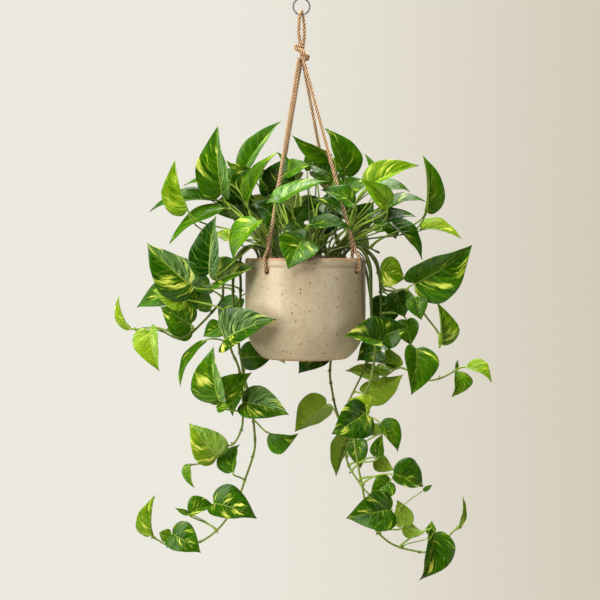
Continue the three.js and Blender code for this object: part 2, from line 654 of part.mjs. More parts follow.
// A plain six-sided hole from its floor out through the soil's top.
function pocket(x, y, radius, floor) {
  const length = 40;
  const hole = new THREE.CylinderGeometry(radius, radius, length, 6);
  hole.rotateX(Math.PI / 2);
  hole.translate(x, y, floor + length / 2);
  return toSolid(hole);
}

// ---- hanger ------------------------------------------------------------------------

function outward(azimuth) {
  const turn = THREE.MathUtils.degToRad(azimuth);
  return new THREE.Vector3(Math.sin(turn), -Math.cos(turn), 0);
}

function round(radius, sides) {
  const shape = new THREE.Shape();
  for (let i = 0; i < sides; i += 1) {
    const angle = 2 * Math.PI * i / sides;
    const move = i ? 'lineTo' : 'moveTo';
    shape[move](radius * Math.cos(angle), radius * Math.sin(angle));
  }
  return shape;
}

function rope(points, width, steps) {
  const path = new THREE.CatmullRomCurve3(points, false, 'centripetal');
  const options = { extrudePath: path, steps, bevelEnabled: false };
  return toSolid(new THREE.ExtrudeGeometry(round(width / 2, ROPE_SIDES), options));
}

function ropeLeg({ azimuth, start: [x, y] }) {
  const out = outward(azimuth);
  const wall = POT_RADIUS - POT_WALL / 2;
  const at = (reach, z) => out.clone().multiplyScalar(wall + reach)
    .add(new THREE.Vector3(POT_X, 0, RIM_Z + z));
  const start = new THREE.Vector3(x, y, LEG_TOP);
  const parting = at(0, EYE_RISE);
  const leg = rope([start, start.clone().lerp(parting, 0.5), parting], ROPE, 8);
  const spliced = (SPLICE_RISE - EYE_RISE) / (start.z - parting.z);
  const top = start.clone().lerp(parting, 1 - spliced);
  const splice = rope([top, top.clone().lerp(parting, 0.5), parting], SPLICE, 4);
  const outside = EYE_SIDE.map(([reach, z]) => at(reach, z));
  const inside = EYE_SIDE.map(([reach, z]) => at(-reach, z)).reverse();
  return join([leg, splice, rope([...outside, at(0, EYE_LOW), ...inside], ROPE, 12)]);
}

function knotSolid() {
  const core = new THREE.SphereGeometry(1, 8, 6);
  core.scale(...KNOT_CORE.radii);
  core.translate(KNOT_X, 0, KNOT_CORE.z);
  const solids = [toSolid(core)];
  KNOT_WRAPS.forEach(([x, z, tilt, radius]) => {
    const wrap = new THREE.TorusGeometry(radius, KNOT_ROPE, 6, 12);
    wrap.rotateY(THREE.MathUtils.degToRad(tilt));
    wrap.translate(KNOT_X + x, 0, z);
    solids.push(toSolid(wrap));
  });
  return join(solids);
}

function loopSolid() {
  return rope(LOOP_ROUTE.map((point) => new THREE.Vector3(...point)), LOOP, 16);
}

function ringSolid() {
  const ring = new THREE.TorusGeometry(RING_RADIUS, RING_WIRE / 2, 8, 20);
  ring.rotateX(Math.PI / 2);
  ring.translate(0, 0, -RING_RADIUS + RING_WIRE / 2);
  return toSolid(ring);
}

// ---- assembly ----------------------------------------------------------------------

function mesh(name, geometry, material) {
  const part = new THREE.Mesh(geometry, material);
  part.name = name;
  return part;
}

const plant = new THREE.Group();
plant.add(mesh('hang_ring', toGeometry(ringSolid()), STEEL));
plant.add(mesh('rope_loop', toGeometry(loopSolid()), JUTE));
plant.add(mesh('rope_knot', toGeometry(knotSolid()), JUTE));
Object.entries(LEGS).forEach(([place, leg]) => {
  plant.add(mesh(`rope_leg_${place}`, toGeometry(ropeLeg(leg)), JUTE));
});
plant.add(mesh('pot', toGeometry(potSolid()), GLAZE));
const roots = [...Object.values(PLANT).map((plan) => plan.root), ...Object.values(FANS)];
plant.add(mesh('soil', toGeometry(soilSolid(roots)), EARTH));
Object.entries(PLANT).forEach(([name, plan]) => plant.add(leafyStem(name, plan)));
Object.entries(FANS).forEach(([name, root], order) => plant.add(fanOfLeaves(name, root, order)));

export default plant;
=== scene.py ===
"""A variegated pothos in a round glazed pot, hung by rope legs, a knot and a steel ring.

Lengths are written in millimetres in the part's own frame, whose origin is the inner
top of the ring, with +X right, +Y away from the viewer and +Z up. They turn into metres
where a mesh is made. Leaves and vines are written as (across, depth, height), where
across and height are what the viewer sees in the plane through the pot's axis.
"""

from __future__ import annotations

import logging
import math
import random
from dataclasses import dataclass, field, replace
from enum import Enum
from typing import Callable, Iterator, Sequence

import bpy
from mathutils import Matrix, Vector, noise


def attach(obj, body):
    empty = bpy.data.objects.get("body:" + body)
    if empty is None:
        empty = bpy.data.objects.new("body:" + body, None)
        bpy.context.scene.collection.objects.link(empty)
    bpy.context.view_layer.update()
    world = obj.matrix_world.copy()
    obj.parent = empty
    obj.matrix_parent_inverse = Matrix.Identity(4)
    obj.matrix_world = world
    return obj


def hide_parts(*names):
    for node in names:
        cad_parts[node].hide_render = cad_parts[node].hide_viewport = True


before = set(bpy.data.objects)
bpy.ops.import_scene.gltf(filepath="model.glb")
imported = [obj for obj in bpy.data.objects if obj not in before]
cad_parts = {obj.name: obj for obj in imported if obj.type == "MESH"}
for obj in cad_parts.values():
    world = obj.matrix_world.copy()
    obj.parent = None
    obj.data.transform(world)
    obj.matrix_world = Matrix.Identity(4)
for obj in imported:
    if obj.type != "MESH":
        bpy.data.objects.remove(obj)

LOG = logging.getLogger("pothos")
MM = 0.001  # a millimetre in metres
BODY = "root"
EYE = Vector((-1.9, -1600.0, -345.0))  # where the viewer's eye is
RIM = -345.0  # the height of the pot's rim
POT_AXIS = Vector((5.5, 0.0, 0.0))
UP = Vector((0, 0, 1))
TO_VIEWER = Vector((0, -1, 0))
ZERO = (0.0, 0.0, 0.0)
UNEVEN, SPECKS, FIBRES = "uneven tone", "specks", "fibres"  # the shared shader groups

Pair = tuple[float, float]
Triple = tuple[float, float, float]
Colour = tuple[float, float, float]
Frame = tuple[Vector, Vector, Vector]
Socket = bpy.types.NodeSocket
Feed = "Socket | float | Sequence[float]"
Material = bpy.types.Material


# ---- rows of the plant ----------------------------------------------------------------


@dataclass(frozen=True)
class Leaf:
    """One leaf: where it leaves its stem, its base and tip, its shape, streaks and lightness.

    The last value names the half, 1 or -1, that gets a painted sheen: a pale grey-green reflection
    painted into its colour.
    """

    at: float
    base: Triple
    tip: Triple
    width: float
    roll: float
    fold: float
    arch: float
    streak: float
    tone: float
    sheen_half: int = 0


@dataclass(frozen=True)
class StemPlan:
    """One stem: its root in the soil, the line it follows and the leaves it carries."""

    root: Pair
    line: Sequence[Triple]
    leaves: Sequence[Leaf]

    @classmethod
    def of(cls, root: Pair, line: Sequence[Triple], *rows: tuple) -> "StemPlan":
        """Make a plan from a row of values for each leaf, in the order of the leaf's fields."""
        return cls(root, line, [Leaf(*row) for row in rows])


PLANT: dict[str, StemPlan] = {
    "crown_left": StemPlan.of(
        (-46, -14),
        [(-56, -14, -322), (-66, -16, -306)],
        (1.8, (-106, -18, -259), (-112, -30, -168), 62, -33, 32, 5, 0.5, 0.4, 1),
        (1.4, (-152, -34, -281), (-169, -42, -214), 54, -42, 42, 4, 0.5, 0.75, 1),
        (2, (-118, 8, -267), (-204, 0, -283), 40, 56, 25, 8, 0.1, 0.3),
        (1.9, (-104, 6, -244), (-158, 5, -248), 32, 66, 13, 4, 0.1, 0.3),
        (1.6, (-108, -14, -280), (-178, -32, -325), 42, 58, 17, 6, 0.15, 0.45),
    ),
    "crown_left_mid": StemPlan.of(
        (-32, 12),
        [(-40, 14, -318), (-48, 14, -300)],
        (1.6, (-82, 34, -256), (-112, 38, -226), 48, 10, 14, 4, 0.05, 0.3),
        (2, (-76, 30, -226), (-27, 18, -161), 38, -36, 31, 5, 0.15, 0.45, 1),
        (1.9, (-70, 20, -230), (-101, 22, -215), 26, -58, 11, 3, 0.45, 0.6),
        (1.5, (-71, -8, -267), (-32, -18, -202), 44, -60, 25, 4, 0.3, 0.6),
        (1.8, (-77, 10, -262), (-68, 12, -220), 28, -20, 20, 3, 0.1, 0.3),
        (1.7, (-44, 14, -260), (-53, 14, -230), 28, 20, 20, 3, 0.1, 0.35),
        (1.2, (-67, 24, -274), (-124, 30, -281), 44, 14, 12, 6, 0, 0.15),
    ),
    "crown_centre": StemPlan.of(
        (-10, -26),
        [(-14, -28, -320), (-18, -30, -302)],
        (1.9, (-30, -74, -267), (39, -54, -242), 50, -66, 13, 5, 0.45, 0.4, -1),
        (1.5, (-24, -78, -271), (-48, -80, -273), 26, 62, 15, 3, 0.15, 0.4),
        (1.2, (-7, -36, -291), (7, -42, -273), 24, 10, 20, 2, 0.1, 0.35),
        (1.1, (-30, 2, -296), (-66, 0, -270), 44, 35, 14, 4, 0, 0.2),
        (2, (-32, 0, -250), (-22, 4, -212), 46, 5, 14, 4, 0, 0.2),
        (1.8, (-20, -4, -232), (13, -8, -221), 34, -45, 15, 3, 0.2, 0.5),
        (1.7, (-14, 22, -226), (-33, 18, -203), 12, 20, 20, 2, 0.1, 0.4),
    ),
    "crown_right_mid": StemPlan.of(
        (18, 4),
        [(22, 6, -318), (27, 8, -300)],
        (2, (36, 8, -209), (-13, 4, -181), 34, -32, 45, 4, 0.15, 0.5),
        (1.8, (58, 4, -234), (32, -2, -171), 56, 35, 35, 5, 0.15, 0.4),
        (1.7, (42, 12, -236), (10, 16, -220), 42, 25, 15, 4, 0.05, 0.25),
        (1.5, (8, 34, -228), (6, 40, -204), 14, 25, 20, 2, 0.1, 0.4),
        (1.2, (30, 20, -272), (74, 22, -296), 46, -35, 14, 5, 0, 0.15),
        (1.4, (54, 12, -262), (94, 13, -244), 42, -45, 18, 5, 0.1, 0.35),
        (1, (62, 6, -288), (14, -4, -266), 34, 50, 16, 4, 0.05, 0.2),
    ),
    "crown_right": StemPlan.of(
        (40, -14),
        [(56, -16, -322), (68, -18, -306)],
        (2, (90, -26, -249), (157, -36, -221), 48, -40, 40, 5, 0.5, 0.7),
        (1.9, (100, -2, -236), (84, 4, -205), 12, 25, 20, 2, 0.2, 0.5),
        (1.8, (113, -46, -273), (79, -52, -240), 36, 15, 38, 3, 0.3, 0.7),
        (1.7, (96, 0, -252), (147, 6, -257), 38, -60, 17, 5, 0.1, 0.35),
        (1.4, (114, -28, -277), (167, -22, -270), 34, -63, 18, 7, 0.15, 0.35),
        (1, (98, -24, -293), (154, -10, -289), 40, -58, 9, 5, 0.05, 0.2),
        (1.9, (68, -54, -272), (25, -58, -254), 40, 48, 18, 4, 0.1, 0.25),
    ),
    "crown_far_right": StemPlan.of(
        (48, 20),
        [(66, 24, -328), (86, 24, -330), (104, 18, -338)],
        (2.9, (166, 4, -281), (162, -10, -206), 50, 45, 44, 5, 0.42, 0.6, -1),
        (2.8, (160, 22, -306), (215, 14, -320), 36, -53, 35, 5, 0.5, 0.85),
        (2, (122, 4, -299), (162, -6, -348), 40, -51, 26, 5, 0.1, 0.25),
        (1.8, (120, 26, -296), (126, 22, -320), 28, 10, 14, 3, 0.1, 0.4),
        (1.6, (112, 44, -300), (93, 50, -308), 24, 30, 14, 2, 0.4, 0.6),
        (1, (73, 30, -300), (97, 32, -270), 36, -10, 14, 4, 0.05, 0.2),
    ),
    "crown_inner": StemPlan.of(
        (4, 14),
        [(5, 16, -326), (7, 18, -306)],
        (2, (28, 34, -276), (-6, 32, -294), 40, 20, 12, 4, 0, 0.1),
        (1.6, (20, 26, -303), (60, 30, -285), 36, -15, 14, 4, 0, 0.15),
        (1.5, (-12, 14, -300), (-26, 12, -268), 32, -10, 14, 4, 0, 0.15),
    ),
    "crown_front": StemPlan.of(
        (0, -52),
        [(0, -56, -328)],
        (1, (0, -72, -322), (-18, -94, -360), 54, 6, 15, 5, 0.25, 0.4),
        (0.8, (4, -58, -306), (-28, -60, -318), 34, 35, 15, 3, 0.05, 0.2),
        (0.9, (14, -56, -300), (70, -64, -307), 34, -55, 15, 5, 0.05, 0.25),
    ),
    "crown_left_front": StemPlan.of(
        (-34, -40),
        [(-44, -46, -326), (-54, -50, -312)],
        (1.9, (-123, -62, -365), (-114, -56, -288), 54, -31, 31, 4, 0.35, 0.1, 1),
        (2, (-60, -60, -297), (-92, -72, -349), 50, 52, 22, 5, 0.2, 0.55),
        (1.5, (-96, -40, -318), (-116, -38, -312), 20, 40, 15, 2, 0.6, 0.8),
    ),
    "vine_left_long": StemPlan.of(
        (-58, -4),
        [(-66, -5, -330), (-77, -5, -334), (-82, -4, -352), (-81, -3, -378), (-82, -1, -412),
         (-84, 2, -452), (-79, 5, -488), (-73, 7, -516), (-67, 8, -538), (-64, 8, -562),
         (-62, 8, -596), (-66, 8, -614), (-75, 8, -640), (-82, 7, -660), (-97, 4, -689),
         (-115, 2, -710), (-134, 0, -723), (-165, -2, -733), (-181, -4, -727), (-198, -6, -717)],
        (4.3, (-114, -32, -376), (-62, -58, -358), 54, -35, 35, 4, 0.6, 0.5, -1),
        (8.5, (-76, -16, -537), (-16, -28, -554), 50, -26, 21, 6, 0.4, 0.35, -1),
        (14.3, (-116, -12, -672), (-59, -22, -692), 56, -33, 33, 6, 0.35, 0.35),
        (15.9, (-148, 6, -685), (-114, 12, -677), 38, -44, 42, 5, 0.4, 0.5),
        (15.95, (-150, 5, -686), (-169, 2, -678), 8, 0, 10, 1, 0.3, 0.6),
        (18.2, (-172, -10, -713), (-134, -18, -738), 46, -27, 27, 4, 0.4, 0.4),
        (18.8, (-177, 4, -717), (-190, 6, -711), 18, 20, 12, 2, 0.4, 0.7),
        (19.9, (-199, -6, -714), (-196, -12, -661), 40, -43, 42, 4, 0.55, 0.7),
        (13.1, (-92, -6, -630), (-83, 14, -593), 46, -43, 40, 3, 0.3, 0.45),
        (10, (-43, -4, -579), (-4, -14, -580), 52, 38, 37, 4, 0.35, 0.45),
    ),
    "vine_left_inner": StemPlan.of(
        (-40, -24),
        [(-52, -26, -331), (-70, -27, -329), (-86, -25, -345), (-91, -22, -378),
         (-91, -18, -412), (-95, -14, -446), (-94, -10, -466), (-84, -6, -490),
         (-79, -5, -520), (-78, -4, -556), (-80, -4, -573), (-90, -4, -592), (-103, -4, -598),
         (-113, -5, -611), (-130, -6, -618), (-149, -8, -621)],
        (4.3, (-144, -34, -383), (-207, -46, -325), 68, -21, 21, 6, 0.55, 0.3, 1),
        (6.2, (-101, -44, -453), (-33, -88, -427), 66, -32, 32, 7, 0.45, 0.2, -1),
        (5.3, (-153, -22, -400), (-199, -22, -388), 42, 15, 15, 4, 0.4, 0.75),
        (6.7, (-133, -20, -458), (-162, -34, -518), 32, 66, 8, 9, 0.15, 0.4),
        (9.2, (-111, -36, -532), (-118, -42, -463), 60, -32, 32, 6, 0.45, 0.5, 1),
        (9.9, (-112, -22, -541), (-66, -18, -497), 48, -30, 30, 4, 0.35, 0.5),
        (13.9, (-113, -18, -609), (-150, -26, -565), 48, 5, 12, 5, 0.6, 0.75, 1),
        (15.95, (-150, -8, -621), (-143, -14, -652), 20, 36, 34, 3, 0.4, 0.6),
        (5.7, (-108, -10, -437), (-131, -14, -450), 28, 20, 14, 3, 0.2, 0.5),
    ),
    "vine_left_outer": StemPlan.of(
        (-38, 34),
        [(-52, 38, -332), (-72, 36, -332), (-92, 30, -352), (-103, 24, -375),
         (-106, 18, -400), (-120, 12, -418), (-133, 8, -432), (-150, 2, -447),
         (-165, 0, -452), (-187, -2, -442), (-205, -2, -438), (-222, -2, -441)],
        (4, (-122, 4, -380), (-143, 2, -389), 34, 30, 14, 3, 0.1, 0.3),
        (5.9, (-137, 10, -413), (-130, 8, -377), 42, -10, 20, 4, 0.2, 0.5),
        (4.9, (-160, -2, -384), (-220, -8, -411), 42, 22, 16, 5, 0.2, 0.35),
        (7.6, (-149, -14, -433), (-188, -24, -410), 46, 8, 8, 4, 0.25, 0.45),
        (7.8, (-148, 16, -437), (-181, 18, -441), 38, 12, 10, 3, 0.3, 0.5),
        (11.9, (-229, -6, -438), (-244, -14, -395), 28, -55, 30, 4, 0.4, 0.8),
        (8.9, (-202, -16, -442), (-190, -32, -496), 50, 17, 42, 4, 0.5, 0.85, -1),
    ),
    "vine_right_outer": StemPlan.of(
        (56, -24),
        [(68, -17, -331), (84, -16, -332), (96, -18, -346), (104, -20, -366),
         (109, -22, -386), (122, -20, -389), (138, -18, -387), (148, -17, -395),
         (158, -16, -411), (167, -16, -424), (178, -16, -438), (184, -16, -447)],
        (7.2, (152, -34, -379), (228, -52, -328), 74, 25, 25, 7, 0.3, 0.35),
        (11.9, (184, -24, -458), (181, -34, -404), 50, 44, 44, 4, 0.4, 0.6),
        (4, (106, -12, -362), (138, -4, -373), 44, -20, 20, 3, 0.5, 0.7),
        (8.2, (152, -26, -398), (160, -30, -428), 30, 10, 18, 3, 0.2, 0.4),
    ),
    "vine_right_mid": StemPlan.of(
        (44, 34),
        [(60, 38, -331), (78, 38, -331), (96, 34, -346), (104, 28, -372), (106, 22, -402),
         (105, 16, -432), (101, 10, -460), (96, 4, -486), (93, 0, -503), (101, -2, -508),
         (115, -2, -500), (130, -2, -491), (148, -4, -498), (168, -6, -508), (186, -8, -505),
         (200, -8, -498), (207, -8, -494)],
        (4.4, (128, 14, -391), (138, 12, -424), 38, 10, 18, 4, 0.1, 0.3),
        (6.2, (106, 0, -451), (141, 2, -437), 46, -20, 16, 4, 0.1, 0.3),
        (5.6, (140, 24, -428), (146, 26, -462), 34, 15, 14, 3, 0.3, 0.5),
        (12.8, (153, -24, -467), (147, -36, -528), 56, -25, 25, 6, 0.35, 0.45),
        (16.8, (206, -14, -497), (201, -22, -531), 44, -38, 36, 4, 0.35, 0.65),
        (17, (222, -8, -491), (254, -14, -512), 34, -50, 34, 6, 0.45, 0.8),
        (16.9, (207, -8, -493), (208, -8, -480), 5, 0, 10, 0.5, 0.2, 0.5),
        (6.8, (105, 3, -468), (74, -3, -482), 46, 40, 14, 4, 0.1, 0.3),
        (4.6, (118, 40, -402), (100, 46, -440), 44, 20, 14, 4, 0.05, 0.2),
    ),
    "vine_right_long": StemPlan.of(
        (36, -42),
        [(54, -38, -332), (76, -34, -331), (89, -35, -350), (92, -38, -390), (94, -32, -430),
         (98, -26, -465), (96, -22, -490), (91, -20, -512), (83, -18, -530), (73, -16, -556),
         (70, -14, -580), (73, -12, -605), (77, -10, -630), (82, -8, -655), (88, -7, -685),
         (98, -6, -706), (108, -6, -717), (120, -6, -726), (132, -6, -731), (148, -6, -735),
         (165, -4, -737), (186, -2, -728), (200, -2, -712), (209, -2, -704)],
        (5.6, (106, -54, -457), (57, -78, -449), 58, 37, 37, 5, 0.5, 0.3),
        (9.4, (86, -40, -552), (40, -52, -580), 52, 0, 10, 5, 0.4, 0.25),
        (9, (91, -28, -545), (63, -28, -533), 28, 25, 14, 3, 0.85, 0.95),
        (15.6, (119, -24, -681), (59, -34, -692), 54, 18, 18, 6, 0.4, 0.3),
        (13.4, (118, -14, -643), (91, -16, -663), 32, 10, 12, 3, 0.3, 0.5),
        (13.7, (124, -18, -634), (163, -8, -650), 54, -39, 38, 5, 0.3, 0.3),
        (18.9, (177, -22, -712), (157, -36, -776), 62, -33, 33, 6, 0.45, 0.35),
        (19.1, (172, -12, -713), (174, -12, -695), 14, 0, 10, 1, 0.3, 0.6),
        (23.9, (210, -3, -704), (215, -4, -661), 22, 62, 16, 3, 0.5, 0.7),
        (16.4, (137, -10, -701), (128, -6, -667), 30, 150, 10, 3, 0.3, 0.6),
        (16.4, (137, -13, -703), (164, -16, -712), 26, 130, 10, 3, 0.3, 0.5),
        (10, (106, -22, -566), (129, -26, -604), 38, -38, 36, 3, 0.3, 0.5),
        (16.6, (163, -12, -655), (175, -12, -647), 7, 0, 10, 0.5, 0.2, 0.5),
    ),
    "vine_right_inner": StemPlan.of(
        (22, 44),
        [(44, 52, -331), (64, 54, -332), (82, 50, -350), (91, 42, -390), (93, 34, -430),
         (91, 26, -465), (84, 20, -492), (72, 16, -518), (62, 12, -538)],
        (8.3, (84, 2, -525), (136, -4, -501), 46, 147, 30, 5, 0.2, 0.6),
        (7, (102, 24, -502), (58, 20, -495), 26, 150, 14, 4, 0.3, 0.6),
        (6.8, (102, 34, -492), (121, 36, -493), 20, 140, 10, 2, 0.3, 0.5),
        (6.7, (130, 18, -487), (97, 16, -483), 26, 45, 20, 3, 0.2, 0.4),
        (6.3, (128, 10, -489), (112, 10, -462), 24, -20, 14, 3, 0.5, 0.7),
    ),
    "vine_back": StemPlan.of(
        (4, 56),
        [(20, 74, -330), (32, 90, -335), (38, 94, -362), (40, 92, -420), (40, 88, -470),
         (38, 82, -500), (41, 74, -522), (45, 66, -542), (51, 58, -562), (54, 50, -582),
         (59, 42, -606), (63, 36, -622), (74, 28, -640), (86, 22, -656), (93, 20, -662)],
        (9.2, (33, 52, -541), (-9, 42, -577), 54, 155, 25, 6, 0.3, 0.6),
        (9.9, (62, 36, -580), (46, 28, -638), 50, 125, 10, 5, 0.25, 0.6),
        (10.5, (75, 30, -588), (79, 30, -626), 30, 20, 14, 3, 0.2, 0.35),
        (4.6, (28, 84, -462), (-4, 76, -499), 46, 10, 14, 4, 0.1, 0.2),
        (12.4, (100, 16, -613), (124, 16, -628), 26, 150, 12, 3, 0.3, 0.6),
        (12, (103, 10, -609), (108, 10, -579), 24, -30, 30, 3, 0.2, 0.5),
        (11.2, (106, 24, -575), (77, 24, -581), 22, 150, 14, 3, 0.3, 0.5),
    ),
    "vine_back_left": StemPlan.of(
        (-18, 48),
        [(-34, 66, -331), (-48, 82, -340), (-56, 84, -372), (-62, 80, -420), (-68, 72, -460),
         (-74, 62, -492)],
        (5.5, (-78, 44, -478), (-38, 56, -477), 42, -20, 18, 4, 0.1, 0.25),
        (3.4, (-84, 66, -400), (-104, 62, -446), 44, 40, 20, 5, 0.1, 0.25),
        (4.2, (-44, 92, -440), (-22, 96, -486), 46, 160, 20, 5, 0.2, 0.4),
        (6, (-82, 58, -505), (-92, 58, -556), 40, 30, 24, 5, 0.2, 0.3),
    ),
}


# ---- geometry helpers -----------------------------------------------------------------


def seen(point: Triple) -> Vector:
    """Turn a point as the viewer sees it into a place.

    Args:
        point: across and height in the plane through the pot's axis, depth in between.

    Returns:
        The place in millimetres.
    """
    across, depth, height = point
    grow = 1 + depth / -EYE.y
    return Vector((EYE.x + (across - EYE.x) * grow, depth, EYE.z + (height - EYE.z) * grow))


def outward(azimuth: float) -> Vector:
    """Return the level direction at an azimuth in degrees, counted from the viewer."""
    angle = math.radians(azimuth)
    return Vector((math.sin(angle), -math.cos(angle), 0))


def smooth_point(line: Sequence[Vector], place: float) -> Vector:
    """Find a point on the smooth curve through a line's points.

    Args:
        line: the points that the curve goes through.
        place: whole part and share of the stretch between two points.

    Returns:
        The point on the curve.
    """
    i = max(0, min(int(place), len(line) - 2))
    share = min(max(place - i, 0.0), 1.0)
    b, c = line[i], line[i + 1]
    a = line[i - 1] if i > 0 else b * 2 - c
    d = line[i + 2] if i + 2 < len(line) else c * 2 - b
    knots = [0.0]
    for first, second in ((a, b), (b, c), (c, d)):
        knots.append(knots[-1] + max((second - first).length, 1e-6) ** 0.5)
    t0, t1, t2, t3 = knots
    t = t1 + (t2 - t1) * share
    a1 = a * ((t1 - t) / (t1 - t0)) + b * ((t - t0) / (t1 - t0))
    a2 = b * ((t2 - t) / (t2 - t1)) + c * ((t - t1) / (t2 - t1))
    a3 = c * ((t3 - t) / (t3 - t2)) + d * ((t - t2) / (t3 - t2))
    b1 = a1 * ((t2 - t) / (t2 - t0)) + a2 * ((t - t0) / (t2 - t0))
    b2 = a2 * ((t3 - t) / (t3 - t1)) + a3 * ((t - t1) / (t3 - t1))
    return b1 * ((t2 - t) / (t2 - t1)) + b2 * ((t - t1) / (t2 - t1))


def smooth_line(line: Sequence[Vector], step: float) -> list[Vector]:
    """Lay points about one step apart on the smooth curve through a line's points.

    Args:
        line: the points that the curve goes through.
        step: the wished distance in millimetres.

    Returns:
        The new points, with both ends kept.
    """
    points = [line[0].copy()]
    for i in range(len(line) - 1):
        count = max(1, round((line[i + 1] - line[i]).length / step))
        points += [smooth_point(line, i + n / count) for n in range(1, count + 1)]
    return points


def bezier(a: Vector, b: Vector, c: Vector, d: Vector, count: int) -> list[Vector]:
    """Lay points on a cubic curve.

    Args:
        a: where it starts.
        b: the handle of its start.
        c: the handle of its end.
        d: where it ends.
        count: how many stretches it has.

    Returns:
        The points, one more than the stretches.
    """
    points = []
    for n in range(count + 1):
        t = n / count
        s = 1 - t
        points.append(a * s**3 + b * (3 * s * s * t) + c * (3 * s * t * t) + d * t**3)
    return points


def line_length(line: Sequence[Vector]) -> float:
    """Return the length of a line of points."""
    return sum((b - a).length for a, b in zip(line, line[1:]))


def turns(count: int) -> list[float]:
    """Return the angles of even steps round a circle."""
    return [2 * math.pi * k / count for k in range(count)]


def around(first: Vector, second: Vector, angle: float) -> Vector:
    """Return the direction at an angle from the first direction towards the second."""
    return first * math.cos(angle) + second * math.sin(angle)


def carried_frames(line: Sequence[Vector]) -> list[Frame]:
    """Carry a pair of side directions along a line without twist.

    Args:
        line: the points.

    Returns:
        For each point the unit directions along, side and over.
    """
    frames = []
    side = None
    for i, _ in enumerate(line):
        along = (line[min(i + 1, len(line) - 1)] - line[max(i - 1, 0)]).normalized()
        if side is None:
            side = UP if abs(along.z) < 0.9 else Vector((1, 0, 0))
        side = (side - along * side.dot(along)).normalized()
        frames.append((along, side, along.cross(side)))
    return frames


def walk(line: Sequence[Vector]) -> Iterator[tuple[Vector, float, Vector, Vector]]:
    """Go along a line.

    Args:
        line: the points.

    Returns:
        For each point the point, the way so far and the directions side and over.
    """
    run = 0.0
    for i, (_, side, over) in enumerate(carried_frames(line)):
        run += (line[i] - line[i - 1]).length if i else 0.0
        yield line[i], run, side, over


def smoothstep(low: float, high: float, value: float) -> float:
    """Return 0 below low, 1 above high and a smooth rise between them."""
    t = min(max((value - low) / (high - low), 0.0), 1.0)
    return t * t * (3 - 2 * t)


@dataclass
class Draft:
    """A mesh in the making, in millimetres, with one finish a face.

    Each point carries two triples for the finishes: its place on the surface and
    the traits of what it belongs to.
    """

    points: list[Vector] = field(default_factory=list)
    faces: list[tuple[int, ...]] = field(default_factory=list)
    finishes: list[int] = field(default_factory=list)
    places: list[Triple] = field(default_factory=list)
    traits: list[Triple] = field(default_factory=list)

    def point(self, where: Vector, place: Triple = ZERO, trait: Triple = ZERO) -> int:
        """Add a point.

        Args:
            where: its position.
            place: its place on the surface.
            trait: the traits of what it belongs to.

        Returns:
            Its number.
        """
        self.points.append(where)
        self.places.append(place)
        self.traits.append(trait)
        return len(self.points) - 1

    def face(self, corners: Sequence[int], finish: int = 0) -> None:
        """Add a face, leaving out corners that repeat.

        Args:
            corners: the numbers of its points.
            finish: its finish.
        """
        kept = [c for i, c in enumerate(corners) if c != corners[i - 1]]
        if len(kept) > 2:
            self.faces.append(tuple(kept))
            self.finishes.append(finish)

    def rings(self, rings: Sequence[Sequence[int]], finish: int = 0) -> None:
        """Join rings of points, in order, by bands of faces.

        Args:
            rings: the rings, each the numbers of its points.
            finish: the finish of the new faces.
        """
        for low, high in zip(rings, rings[1:]):
            for k, _ in enumerate(low):
                nxt = (k + 1) % len(low)
                self.face((low[k], low[nxt], high[nxt], high[k]), finish)

    def cap(
        self, ring: Sequence[int], where: Vector, finish: int = 0, first: bool = False
    ) -> None:
        """Close a ring by a fan of faces round one middle point.

        Args:
            ring: the ring's points.
            where: the middle point.
            finish: the finish of the new faces.
            first: whether the ring is the tube's first one.
        """
        middle = self.point(where, self.places[ring[0]], self.traits[ring[0]])
        for k, _ in enumerate(ring):
            nxt = (k + 1) % len(ring)
            pair = (ring[nxt], ring[k]) if first else (ring[k], ring[nxt])
            self.face((*pair, middle), finish)

    def tube(
        self,
        line: Sequence[Vector],
        radii: Sequence[float],
        sides: int,
        finish: int = 0,
        trait: Triple = ZERO,
    ) -> None:
        """Add a closed tube.

        Args:
            line: the middle line.
            radii: the radius at each of its points.
            sides: how many points a ring has.
            finish: the finish of its faces.
            trait: the traits of its points.
        """
        rings = []
        for (here, run, side, over), radius in zip(walk(line), radii):
            ring = []
            for angle in turns(sides):
                place = (run * MM, math.cos(angle), math.sin(angle))
                spot = here + around(side, over, angle) * radius
                ring.append(self.point(spot, place, trait))
            rings.append(ring)
        self.rings(rings, finish)
        ends = (line[0] - line[1]).normalized(), (line[-1] - line[-2]).normalized()
        self.cap(rings[0], line[0] + ends[0] * radii[0] * 0.5, finish, first=True)
        self.cap(rings[-1], line[-1] + ends[1] * radii[-1] * 0.5, finish)

    def piece(self, name: str, *finishes: Material) -> bpy.types.Object:
        """Turn the draft into an object.

        Args:
            name: the object's name.
            *finishes: its materials.

        Returns:
            The new object, linked to the scene.
        """
        mesh = bpy.data.meshes.new(name)
        mesh.from_pydata([tuple(p * MM) for p in self.points], [], self.faces)
        for finish in finishes:
            mesh.materials.append(finish)
        mesh.polygons.foreach_set("material_index", self.finishes)
        mesh.polygons.foreach_set("use_smooth", [True] * len(self.faces))
        for label, rows in (("place", self.places), ("trait", self.traits)):
            layer = mesh.attributes.new(label, "FLOAT_VECTOR", "POINT")
            layer.data.foreach_set("vector", [value for row in rows for value in row])
        mesh.update()
        return add_object(name, mesh)


def add_object(name: str, data: bpy.types.ID) -> bpy.types.Object:
    """Make an object and link it to the scene.

    Args:
        name: its name.
        data: its mesh, light or camera.

    Returns:
        The object.
    """
    made = bpy.data.objects.new(name, data)
    bpy.context.scene.collection.objects.link(made)
    return made


